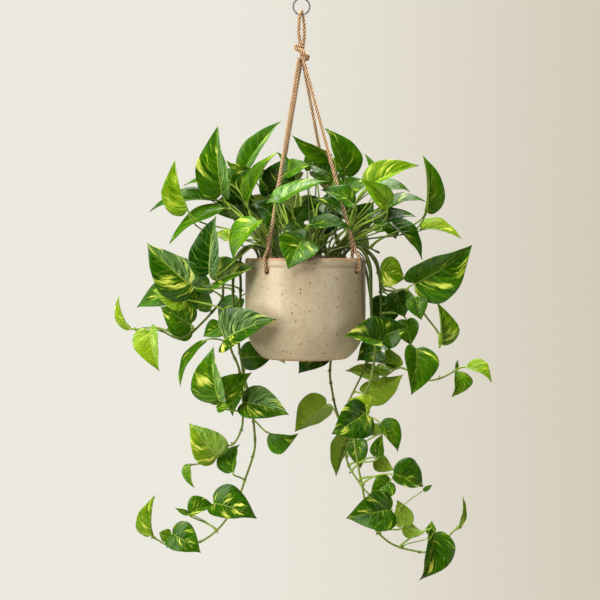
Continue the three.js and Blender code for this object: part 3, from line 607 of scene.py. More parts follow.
def place_piece(piece: bpy.types.Object, slot: str, *nodes: str) -> None:
    """Let a piece ride on the body and hide the parts that it stands for.

    Args:
        piece: the piece.
        slot: not used.
        *nodes: the nodes that it stands for.
    """
    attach(piece, BODY)
    if nodes:
        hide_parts(*nodes)
    LOG.info("%s: %d faces", piece.name, len(piece.data.polygons))


# ---- shader graph helper --------------------------------------------------------------


class Graph:
    """Short ways to add nodes to a node tree."""

    def __init__(self, tree: bpy.types.NodeTree) -> None:
        """Keep the tree that the nodes go into."""
        self.tree = tree

    def add(self, kind: str, feeds: dict | None = None, **settings: object) -> bpy.types.Node:
        """Add a node.

        Args:
            kind: the node's type name without the "ShaderNode" in front.
            feeds: what each input gets, by name or number.
            **settings: the node's own settings.

        Returns:
            The node.
        """
        node = self.tree.nodes.new("ShaderNode" + kind)
        for key, value in settings.items():
            setattr(node, key, value)
        for key, value in (feeds or {}).items():
            self.feed(node.inputs[key], value)
        return node

    def feed(self, entry: Socket, value: Feed) -> None:
        """Link a socket to an input, or set the input to a plain value.

        Args:
            entry: the input.
            value: the socket or the value.
        """
        if isinstance(value, bpy.types.NodeSocket):
            self.tree.links.new(value, entry)
        elif entry.type == "RGBA" and len(value) == 3:
            entry.default_value = (*value, 1)
        else:
            entry.default_value = value

    def fill(self, node: bpy.types.Node, **feeds: Feed) -> bpy.types.Node:
        """Feed a node's inputs.

        Args:
            node: the node.
            **feeds: what each input gets, with _ for a space in its name.

        Returns:
            The node.
        """
        for label, value in feeds.items():
            self.feed(node.inputs[label.replace("_", " ")], value)
        return node

    def group(self, name: str, **feeds: Feed) -> list[Socket]:
        """Place a shared group, with what its inputs get, and return its outputs."""
        node = self.add("Group", node_tree=bpy.data.node_groups[name])
        return list(self.fill(node, **feeds).outputs)

    def tone(self, where: Socket, broad: float, fine: float, share: float = 0.35) -> Socket:
        """Return an uneven tone from 0 to 1; share is how much of it is fine."""
        return self.group(UNEVEN, Vector=where, Broad=broad, Fine=fine, Fine_share=share)[0]

    def specks(self, where: Socket, scale: float, size: float, share: float) -> Socket:
        """Return the mask of specks that fill a share of the cells of a scale."""
        return self.group(SPECKS, Vector=where, Scale=scale, Size=size, Share=share)[0]

    def fibres(self, where: Socket, across: float, along: float) -> list[Socket]:
        """Return the height and the tone of fibres."""
        return self.group(FIBRES, Vector=where, Across=across, Along=along)

    def math(self, operation: str, a: Feed, b: Feed = 0.0, c: Feed = 0.0) -> Socket:
        """Return the result of a sum on one to three values."""
        return self.add("Math", {0: a, 1: b, 2: c}, operation=operation).outputs[0]

    def times(self, a: Feed, b: Feed) -> Socket:
        """Return a times b."""
        return self.math("MULTIPLY", a, b)

    def times_plus(self, a: Feed, b: Feed, c: Feed) -> Socket:
        """Return a times b, plus c."""
        return self.math("MULTIPLY_ADD", a, b, c)

    def minus(self, a: Feed, b: Feed) -> Socket:
        """Return a less b."""
        return self.math("SUBTRACT", a, b)

    def larger(self, a: Feed, b: Feed) -> Socket:
        """Return the larger of a and b."""
        return self.math("MAXIMUM", a, b)

    def above(self, a: Feed, b: Feed) -> Socket:
        """Return 1 where a is above b, otherwise 0."""
        return self.math("GREATER_THAN", a, b)

    def sweep(self, value: Feed, low: float, high: float) -> Socket:
        """Return a smooth rise from 0 to 1 while the value goes from low to high."""
        feeds = {"Value": value, "From Min": low, "From Max": high}
        return self.add("MapRange", feeds, interpolation_type="SMOOTHSTEP").outputs[0]

    def ease(self, value: Feed, low: float, high: float) -> Socket:
        """Return the value in 0 to 1 turned into the range low to high."""
        return self.add("MapRange", {"Value": value, "To Min": low, "To Max": high}).outputs[0]

    def ease_between(self, value: Feed, low: float, high: float) -> Socket:
        """Return a straight rise from 0 to 1 while the value goes from low to high."""
        return self.add("MapRange", {"Value": value, "From Min": low, "From Max": high}).outputs[0]

    def blend(self, share: Feed, first: Feed, second: Feed) -> Socket:
        """Return a colour between two colours."""
        return self.add("Mix", {0: share, 6: first, 7: second}, data_type="RGBA").outputs[2]

    def noise(self, vector: Feed, scale: Feed, detail: float = 2.0, rough: float = 0.5) -> Socket:
        """Return a noise value, usually between 0.25 and 0.75."""
        feeds = {"Vector": vector, "Scale": scale, "Detail": detail, "Roughness": rough}
        return self.add("TexNoise", feeds).outputs[0]

    def vector(self, x: Feed, y: Feed, z: Feed) -> Socket:
        """Return a vector made of three values."""
        return self.add("CombineXYZ", {0: x, 1: y, 2: z}).outputs[0]

    def parts(self, vector: Feed) -> list[Socket]:
        """Return the three values of a vector."""
        return list(self.add("SeparateXYZ", {0: vector}).outputs)

    def attribute(self, label: str) -> Socket:
        """Return the vector that the mesh carries under a name."""
        return self.add("Attribute", attribute_name=label).outputs["Vector"]

    def bump(self, height: Feed, distance: float, strength: float = 1.0) -> Socket:
        """Return the normal of a surface with small heights."""
        feeds = {"Height": height, "Distance": distance, "Strength": strength}
        return self.add("Bump", feeds).outputs[0]


def shader_group(
    name: str, inputs: dict[str, float | None], outputs: Sequence[str]
) -> tuple[Graph, dict[str, Socket], bpy.types.Node]:
    # a half with a painted sheen carries 2 more in its streak value
    """Make an empty shader node group.

    Args:
        name: the group's name.
        inputs: input names, each with its first value, or None for a vector.
        outputs: names of the value outputs.

    Returns:
        Its graph helper, its input sockets by name and its output node.
    """
    group = bpy.data.node_groups.new(name, "ShaderNodeTree")
    for label, value in inputs.items():
        kind = "NodeSocketVector" if value is None else "NodeSocketFloat"
        entry = group.interface.new_socket(label, in_out="INPUT", socket_type=kind)
        if value is not None:
            entry.default_value = value
    for label in outputs:
        group.interface.new_socket(label, in_out="OUTPUT", socket_type="NodeSocketFloat")
    entry = group.nodes.new("NodeGroupInput")
    exit_node = group.nodes.new("NodeGroupOutput")
    return Graph(group), entry.outputs, exit_node


def mottle_group() -> None:
    """Build the group for uneven tone: broad and fine noise in one value."""
    graph, entry, exit_node = shader_group(
        UNEVEN, {"Vector": None, "Broad": 20.0, "Fine": 200.0, "Fine share": 0.35}, ["Tone"]
    )
    broad = graph.noise(entry["Vector"], entry["Broad"], 3.0)
    fine = graph.noise(entry["Vector"], entry["Fine"], 2.0)
    left = graph.minus(1.0, entry["Fine share"])
    tone = graph.times(broad, left)
    tone = graph.times_plus(fine, entry["Fine share"], tone)
    graph.fill(exit_node, Tone=graph.sweep(tone, 0.3, 0.7))


def speck_group() -> None:
    """Build the group for scattered specks of uneven size."""
    graph, entry, exit_node = shader_group(
        SPECKS, {"Vector": None, "Scale": 300.0, "Size": 0.2, "Share": 0.4}, ["Mask"]
    )
    cells = graph.add("TexVoronoi", {"Vector": entry["Vector"], "Scale": entry["Scale"]})
    pick = graph.parts(cells.outputs["Color"])
    size = graph.times(entry["Size"], graph.ease(pick[0], 0.35, 1.0))
    inside = graph.minus(size, cells.outputs["Distance"])
    spot = graph.sweep(inside, 0.0, 0.06)
    chosen = graph.math("LESS_THAN", pick[1], entry["Share"])
    graph.fill(exit_node, Mask=graph.times(spot, chosen))


def fibre_group() -> None:
    """Build the group for fibres that run along the third direction of a vector."""
    graph, entry, exit_node = shader_group(
        FIBRES, {"Vector": None, "Across": 900.0, "Along": 60.0}, ["Height", "Tone"]
    )
    x, y, z = graph.parts(entry["Vector"])
    stretched = graph.vector(
        graph.times(x, entry["Across"]),
        graph.times(y, entry["Across"]),
        graph.times(z, entry["Along"]),
    )
    tone = graph.sweep(graph.noise(stretched, 0.45, 2.0), 0.35, 0.65)
    graph.fill(exit_node, Height=graph.noise(stretched, 1.0, 3.0, 0.6), Tone=tone)


def new_material(
    name: str, **plain: float | Colour
) -> tuple[Material, Graph, bpy.types.Node]:
    """Make a material with one Principled shader.

    Args:
        name: the material's name.
        **plain: plain values for the shader's sockets, with _ for a space in a name.

    Returns:
        The material, its graph helper and its shader node.
    """
    material = bpy.data.materials.new(name)
    material.use_nodes = True
    graph = Graph(material.node_tree)
    shader = material.node_tree.nodes["Principled BSDF"]
    return material, graph, graph.fill(shader, **plain)


# ---- finishes -------------------------------------------------------------------------


@dataclass(frozen=True)
class LeafFinish:
    """Glossy variegated leaf: greens, lighter veins, yellow streaks along them and a painted sheen
    on chosen halves.
    """

    deep: Colour = (0.003, 0.03, 0.0003)
    middle: Colour = (0.048, 0.155, 0.0005)
    light: Colour = (0.24, 0.37, 0.01)
    lime: Colour = (0.40, 0.52, 0.04)
    yellow: Colour = (0.78, 0.77, 0.18)
    underside: Colour = (0.20, 0.31, 0.018)
    painted_sheen: Colour = (0.27, 0.42, 0.17)
    veins: float = 8.0
    roughness: float = 0.25

    def build(self) -> Material:
        """Build the material.

        Returns:
            The material.
        """
        material, graph, shader = new_material("variegated leaf", Specular_IOR_Level=0.18)
        lane, reach, face = graph.parts(graph.attribute("place"))
        seed, streak, tone = graph.parts(graph.attribute("trait"))
        under = graph.above(face, 2.0)
        # a streak value above 1.5 marks a half with a painted sheen; the mark is then taken off
        # the streak
        painted_sheen = graph.above(streak, 1.5)
        streak = graph.times_plus(painted_sheen, -2.0, streak)
        shift = graph.times_plus(face, 7.3, graph.times(seed, 53.0))
        swept = graph.times_plus(graph.math("POWER", reach, 1.25), -0.2, lane)
        stray = graph.noise(self.flow(graph, lane, reach, shift, 9.0, 5.0), 1.0, 2.0)
        swept = graph.times_plus(stray, 0.07, swept)
        fine = graph.noise(self.flow(graph, swept, reach, shift, 30.0, 1.3), 1.0, 3.0, 0.6)
        broad = graph.noise(self.flow(graph, swept, reach, shift, 6.5, 1.1), 1.0, 1.0)
        level = graph.times_plus(fine, 0.4, graph.times(broad, 0.6))
        over = graph.minus(level, graph.times_plus(streak, -0.15, 0.66))
        lime = graph.sweep(over, -0.05, 0.045)
        yellow = graph.sweep(over, 0.02, 0.075)
        vein_at = graph.math("FRACT", graph.times(lane, self.veins))
        off_vein = graph.math("ABSOLUTE", graph.minus(vein_at, 0.5))
        vein = graph.minus(1.0, graph.sweep(off_vein, 0.0, 0.14))
        vein = graph.times(vein, graph.ease(reach, 1.0, 0.1))
        rib = graph.minus(1.0, graph.sweep(reach, 0.012, 0.04))
        slow = self.flow(graph, lane, reach, shift, 3.0, 2.0)
        mottle = graph.tone(slow, 0.8, 7.0, 0.3)
        depth = graph.times_plus(graph.minus(fine, 0.5), 1.1, tone)
        depth = graph.times_plus(graph.minus(mottle, 0.5), 0.22, depth)
        green = graph.blend(graph.ease_between(depth, 0.05, 0.58), self.deep, self.middle)
        green = graph.blend(graph.ease_between(depth, 0.55, 0.95), green, self.light)
        green = graph.blend(graph.times(vein, 0.14), green, self.lime)
        colour = graph.blend(lime, green, self.lime)
        colour = graph.blend(yellow, colour, self.yellow)
        colour = graph.blend(graph.times(rib, 0.4), colour, self.lime)
        # painted sheen: a pale grey-green reflection painted into the marked halves, broken up by
        # the vein noise and kept off the yellow streaks
        painted_sheen = graph.times(painted_sheen, graph.ease_between(fine, 0.4, 0.7))
        painted_sheen = graph.times(painted_sheen, graph.ease(graph.ease_between(broad, 0.3, 0.6), 0.3, 0.8))
        painted_sheen = graph.times(painted_sheen, graph.ease(yellow, 1.0, 0.3))
        colour = graph.blend(painted_sheen, colour, self.painted_sheen)
        pale = graph.blend(graph.times(vein, 0.4), self.underside, self.lime)
        colour = graph.blend(graph.times(under, 0.8), colour, pale)
        rough = graph.ease(mottle, self.roughness - 0.05, self.roughness + 0.08)
        rough = graph.times_plus(under, 0.2, rough)
        height = graph.times(vein, -0.7)
        height = graph.times_plus(rib, -0.5, height)
        height = graph.times_plus(fine, 0.8, height)
        normal = graph.bump(height, 0.0006, 0.8)
        graph.fill(shader, Base_Color=colour, Roughness=rough, Normal=normal)
        return material

    def flow(
        self, graph: Graph, lane: Feed, reach: Feed, shift: Feed, across: float, out: float
    ) -> Socket:
        """Return the pattern's coordinates, with a frequency across the veins and one along."""
        moved = graph.times_plus(lane, across, shift)
        return graph.vector(moved, graph.times(reach, out), shift)


@dataclass(frozen=True)
class StemFinish:
    """Petioles in light green, vines in olive and brown nubs where roots break out; the crown's
    stalks get painted shade towards olive and brown.
    """

    petiole: Colour = (0.29, 0.44, 0.04)
    vine: Colour = (0.045, 0.09, 0.01)
    light_vine: Colour = (0.27, 0.36, 0.06)
    bark: Colour = (0.05, 0.026, 0.012)
    radius: float = 0.0015

    def build(self) -> Material:
        """Build the material.

        Returns:
            The material.
        """
        material, graph, shader = new_material("green stem", Specular_IOR_Level=0.3)
        run, cosine, sine = graph.parts(graph.attribute("place"))
        seed, age_and_shade, brown_and_shade = graph.parts(graph.attribute("trait"))
        bark_at = graph.vector(
            graph.times(cosine, self.radius), graph.times(sine, self.radius), run
        )
        height, threads = graph.fibres(bark_at, 1500.0, 90.0)
        tone = graph.tone(bark_at, 25.0, 400.0)
        young = graph.times(graph.ease_between(run, 0.1, 0.36), 0.65)
        vine = graph.blend(graph.times_plus(tone, 0.35, young), self.vine, self.light_vine)
        green = graph.blend(age_and_shade, self.petiole, vine)
        green = graph.blend(graph.times(threads, 0.25), green, self.vine)
        spots = graph.specks(bark_at, 900.0, 0.3, 0.25)
        # brown: root nubs, bark specks and the painted shade on the crown's stalks
        dark = graph.larger(brown_and_shade, graph.times(spots, 0.5))
        colour = graph.blend(dark, green, self.bark)
        rough = graph.ease(brown_and_shade, 0.42, 0.8)
        normal = graph.bump(height, 0.0002, 0.6)
        graph.fill(shader, Base_Color=colour, Roughness=rough, Normal=normal)
        return material


@dataclass(frozen=True)
class GlazeFinish:
    """Satin stoneware glaze with brown specks, bare clay where the glaze thins."""

    light: Colour = (0.46, 0.39, 0.275)
    shade: Colour = (0.345, 0.28, 0.175)
    blush: Colour = (0.40, 0.29, 0.185)
    clay: Colour = (0.36, 0.20, 0.10)
    speck: Colour = (0.09, 0.045, 0.02)

    def build(self) -> Material:
        """Build the material.

        Returns:
            The material.
        """
        material, graph, shader = new_material("speckled glaze", Coat_Roughness=0.22)
        where = graph.add("TexCoord").outputs["Object"]
        bare, _, _ = graph.parts(graph.attribute("trait"))
        tone = graph.tone(where, 14.0, 160.0, 0.3)
        small = graph.specks(where, 420.0, 0.36, 0.3)
        large = graph.specks(where, 170.0, 0.25, 0.6)
        specks = graph.larger(graph.times(small, 0.7), large)
        x, y, z = graph.parts(where)
        runs = graph.noise(graph.vector(x, y, graph.times(z, 0.3)), 16.0, 4.0, 0.6)
        colour = graph.blend(tone, self.shade, self.light)
        flushed = graph.times(graph.sweep(runs, 0.42, 0.62), 0.6)
        colour = graph.blend(flushed, colour, self.blush)
        worn = graph.times(bare, graph.ease(tone, 1.35, 0.75))
        colour = graph.blend(graph.sweep(worn, 0.2, 0.9), colour, self.clay)
        colour = graph.blend(specks, colour, self.speck)
        rough = graph.times_plus(bare, 0.3, graph.ease(tone, 0.47, 0.38))
        coat = graph.ease(bare, 0.14, 0.0)
        height = graph.times_plus(specks, -0.5, graph.noise(where, 120.0, 3.0))
        normal = graph.bump(height, 0.0005, 0.35)
        graph.fill(shader, Base_Color=colour, Roughness=rough, Coat_Weight=coat, Normal=normal)
        return material


@dataclass(frozen=True)
class SoilFinish:
    """Dark moist potting mix with lighter bark and a few pale grains."""

    damp: Colour = (0.012, 0.008, 0.005)
    dry: Colour = (0.06, 0.036, 0.02)
    bark: Colour = (0.16, 0.085, 0.04)
    grain: Colour = (0.55, 0.5, 0.42)

    def build(self) -> Material:
        """Build the material.

        Returns:
            The material.
        """
        material, graph, shader = new_material("potting mix", Roughness=0.92)
        where = graph.add("TexCoord").outputs["Object"]
        chip, pale, _ = graph.parts(graph.attribute("trait"))
        tone = graph.tone(where, 90.0, 700.0, 0.5)
        _, threads = graph.fibres(where, 900.0, 120.0)
        colour = graph.blend(tone, self.damp, self.dry)
        colour = graph.blend(graph.times(chip, threads), colour, self.bark)
        colour = graph.blend(pale, colour, self.grain)
        normal = graph.bump(graph.noise(where, 900.0, 3.0), 0.0008, 0.9)
        graph.fill(shader, Base_Color=colour, Normal=normal)
        return material


@dataclass(frozen=True)
class JuteFinish:
    """Laid jute: tan fibres along the strands, with painted shade darkening the creases between
    them.
    """

    light: Colour = (0.74, 0.48, 0.265)
    dark: Colour = (0.43, 0.24, 0.11)
    painted_crease_shade: Colour = (0.055, 0.022, 0.007)

    def build(self) -> Material:
        """Build the material.

        Returns:
            The material.
        """
        material, graph, shader = new_material(
            "jute", Roughness=0.9, Sheen_Weight=0.25, Sheen_Roughness=0.5
        )
        lay = graph.attribute("place")
        hollow_shade, _, _ = graph.parts(graph.attribute("trait"))
        height, threads = graph.fibres(lay, 2600.0, 260.0)
        tone = graph.tone(lay, 60.0, 900.0)
        colour = graph.blend(threads, self.dark, self.light)
        colour = graph.blend(graph.times(tone, 0.4), colour, self.light)
        # painted shade: the creases between the strands are darkened almost to black
        colour = graph.blend(graph.sweep(hollow_shade, 0.08, 0.6), colour, self.painted_crease_shade)
        graph.fill(shader, Base_Color=colour, Normal=graph.bump(height, 0.0006, 0.8))
        return material


@dataclass(frozen=True)
class SteelFinish:
    """Dark drawn wire with fine scratches along it."""

    base: Colour = (0.11, 0.11, 0.12)
    bright: Colour = (0.3, 0.3, 0.31)

    def build(self) -> Material:
        """Build the material.

        Returns:
            The material.
        """
        material, graph, shader = new_material("dark wire", Metallic=1.0)
        drawn = graph.attribute("place")
        height, threads = graph.fibres(drawn, 2200.0, 40.0)
        tone = graph.tone(drawn, 80.0, 600.0)
        colour = graph.blend(graph.times(tone, 0.6), self.base, self.bright)
        rough = graph.ease(threads, 0.28, 0.45)
        normal = graph.bump(height, 0.00005, 0.4)
        graph.fill(shader, Base_Color=colour, Roughness=rough, Normal=normal)
        return material


@dataclass(frozen=True)
class PlasterFinish:
    """Plain pale floor."""

    tone: Colour = (0.80, 0.765, 0.69)

    def build(self) -> Material:
        """Build the material.

        Returns:
            The material.
        """
        material, graph, shader = new_material("pale floor", Roughness=0.85)
        where = graph.add("TexCoord").outputs["Object"]
        tone = graph.tone(where, 1.5, 30.0)
        darker = tuple(0.96 * part for part in self.tone)
        graph.fill(shader, Base_Color=graph.blend(tone, darker, self.tone))
        return material


# ---- camera and studio ----------------------------------------------------------------


@dataclass(frozen=True)
class Camera:
    """A level camera at the height of the pot's rim."""

    lens: float = 72.0
    sensor: float = 36.0
    shift_up: float = -0.07

    def build(self) -> None:
        """Make the camera and let the scene use it."""
        data = bpy.data.cameras.new("camera")
        data.lens = self.lens
        data.sensor_width = self.sensor
        data.shift_y = self.shift_up
        camera = add_object("camera", data)
        camera.location = EYE * MM
        camera.rotation_euler = (math.radians(90), 0, 0)
        bpy.context.scene.camera = camera


@dataclass(frozen=True)
class Softbox:
    """One soft lamp: its place and aim in metres, size, power and colour."""

    name: str
    place: Triple
    aim: Triple
    size: Pair
    power: float
    colour: Colour

    def build(self) -> None:
        """Make the lamp."""
        data = bpy.data.lights.new(self.name, "AREA")
        data.shape = "RECTANGLE"
        data.size, data.size_y = self.size
        data.energy = self.power
        data.color = self.colour
        lamp = add_object(self.name, data)
        lamp.location = self.place
        toward = Vector(self.aim) - Vector(self.place)
        lamp.rotation_euler = toward.to_track_quat("-Z", "Y").to_euler()


@dataclass(frozen=True)
class Studio:
    """A pale floor far below, a warm pale surround and soft lamps."""

    floor_radius: float = 1.9
    floor_corners: int = 96
    floor_height: float = -1.5
    painted_lit_left: Colour = (0.84, 0.815, 0.735)
    painted_shaded_right: Colour = (0.635, 0.578, 0.465)
    surround_light: float = 0.08
    lamps: Sequence[Softbox] = (
        Softbox("window", (-1.45, -0.8, -0.1), (0, 0, -0.4), (0.9, 1.5), 35.5, (1.0, 0.98, 0.91)),
        Softbox("key", (-0.7, -1.6, 0.9), (0, 0, -0.45), (0.5, 0.7), 23.0, (1.0, 0.98, 0.90)),
        Softbox("sky", (-0.4, -1.0, 1.5), (0, 0, -0.4), (0.8, 0.6), 20.0, (1.0, 0.99, 0.90)),
        Softbox("strip", (1.35, -0.9, -0.3), (0, 0, -0.4), (0.35, 1.4), 6.0, (1.0, 0.97, 0.92)),
        Softbox("top", (0.1, 0.1, 1.2), (0, 0, -0.4), (0.9, 0.9), 50.0, (1.0, 0.99, 0.90)),
        Softbox("back", (0.6, 1.5, 0.4), (0, 0, -0.4), (1.0, 1.0), 12.0, (1.0, 0.98, 0.92)),
    )

    def build(self) -> None:
        """Make the floor, the surround and the lamps."""
        draft = Draft()
        middle = draft.point(Vector((0, 0, self.floor_height / MM)))
        rim = []
        for angle in turns(self.floor_corners):
            out = Vector((math.cos(angle), math.sin(angle), 0)) * self.floor_radius
            rim.append(draft.point(Vector((out.x, out.y, self.floor_height)) / MM))
        for k, _ in enumerate(rim):
            draft.face((rim[k], rim[(k + 1) % len(rim)], middle))
        draft.piece("floor", PlasterFinish().build())
        for lamp in self.lamps:
            lamp.build()
        self.surround()
        bpy.context.scene.view_settings.view_transform = "Standard"

    def surround(self) -> None:
        """Make the pale surround, with painted light falling off from the paler left to the darker
        right, and dimmer as a light than it looks.
        """
        world = bpy.data.worlds.new("surround")
        bpy.context.scene.world = world
        world.use_nodes = True
        graph = Graph(world.node_tree)
        across = graph.parts(graph.add("TexCoord").outputs["Generated"])[0]
        # painted light: the surround's tone falls off from left to right, as a wall lit from the
        # left would
        tone = graph.blend(graph.sweep(across, -0.12, 0.34), self.painted_lit_left, self.painted_shaded_right)
        straight = graph.add("LightPath").outputs["Is Camera Ray"]
        sheet = world.node_tree.nodes["Background"]
        graph.fill(sheet, Color=tone, Strength=graph.ease(straight, self.surround_light, 1.0))


# ---- hanger ---------------------------------------------------------------------------


class RopeEnd(Enum):
    """How a rope's far end is finished: the share of its thickness that is left."""

    BLUNT = 1.0
    TAPERED = 0.35


@dataclass(frozen=True)
class Rope:
    """Three-strand laid rope."""

    diameter: float = 4.6
    pitch: float = 14.5
    start_turn: float = 0.0
    strands: int = 3
    points_a_strand: int = 7
    step: float = 1.0
    strand_middle: float = 0.475
    strand_radius: float = 0.525
    deepest: float = 0.44
    taper: float = 8.0
    fuzz_spacing: float = 1.3

    def section(self) -> list[Triple]:
        """Work out the cross-section.

        Returns:
            For each point its angle, its share of the rope's radius and how deep it lies in the
            crease, which sets the painted shade there.
        """
        rows = []
        for k, angle in enumerate(turns(self.strands * self.points_a_strand)):
            off = (k % self.points_a_strand) / self.points_a_strand * 2 * math.pi / self.strands
            off -= math.pi / self.strands
            rise = math.sqrt(self.strand_radius**2 - (self.strand_middle * math.sin(off)) ** 2)
            share = self.strand_middle * math.cos(off) + rise
            rows.append((angle, share, (1 - share) / self.deepest))
        return rows

    def lay(
        self,
        draft: Draft,
        line: Sequence[Vector],
        end: RopeEnd = RopeEnd.BLUNT,
        closed: bool = False,
    ) -> None:
        """Add the rope along a line.

        Args:
            draft: the mesh that it goes into.
            line: the middle line, in steps of about a millimetre.
            end: how its far end is finished.
            closed: whether the line runs back into its first point.
        """
        section = self.section()
        rings = []
        for i, (here, run, side, over) in enumerate(walk(line)):
            turn = self.start_turn + 2 * math.pi * run / self.pitch
            left = min((len(line) - 1 - i) / self.taper, 1.0)
            thin = end.value + (1 - end.value) * left
            ring = []
            for angle, share, hollow_shade in section:
                radius = self.diameter / 2 * share * thin
                radius *= 1 + 0.05 * noise.noise(Vector((angle, run * 0.35, 3.1)))
                out = around(side, over, angle + turn)
                place = (math.cos(angle) * radius * MM, math.sin(angle) * radius * MM, run * MM)
                ring.append(draft.point(here + out * radius, place, (hollow_shade, 0, 0)))
            rings.append(ring)
        if closed:
            rings.append(rings[0])
            draft.rings(rings)
            return
        draft.rings(rings)
        draft.cap(rings[0], line[0], first=True)
        draft.cap(rings[-1], line[-1])

    def fuzz(self, draft: Draft, line: Sequence[Vector], rng: random.Random) -> None:
        """Add loose fibres that stand off the rope.

        Args:
            draft: the mesh that they go into.
            line: the rope's middle line.
            rng: where the draws come from.
        """
        frames = carried_frames(line)
        for _ in range(int(line_length(line) / self.fuzz_spacing)):
            i = rng.randrange(1, len(line) - 1)
            along, side, over = frames[i]
            out = around(side, over, rng.uniform(0, 2 * math.pi))
            start = line[i] + out * self.diameter * 0.44
            reach = rng.uniform(1.5, 4.5)
            lean = along * rng.choice((-1, 1)) * rng.uniform(0.5, 1.4)
            bow = side * rng.uniform(-0.5, 0.5) + over * rng.uniform(-0.5, 0.5)
            middle = start + (out + lean) * reach * 0.45
            tip = start + (out * 0.8 + lean * 1.3 + bow) * reach
            # the loose fibres carry a little of the painted crease shade
            draft.tube([start, middle, tip], [0.1, 0.08, 0.03], 3, trait=(0.2, 0, 0))


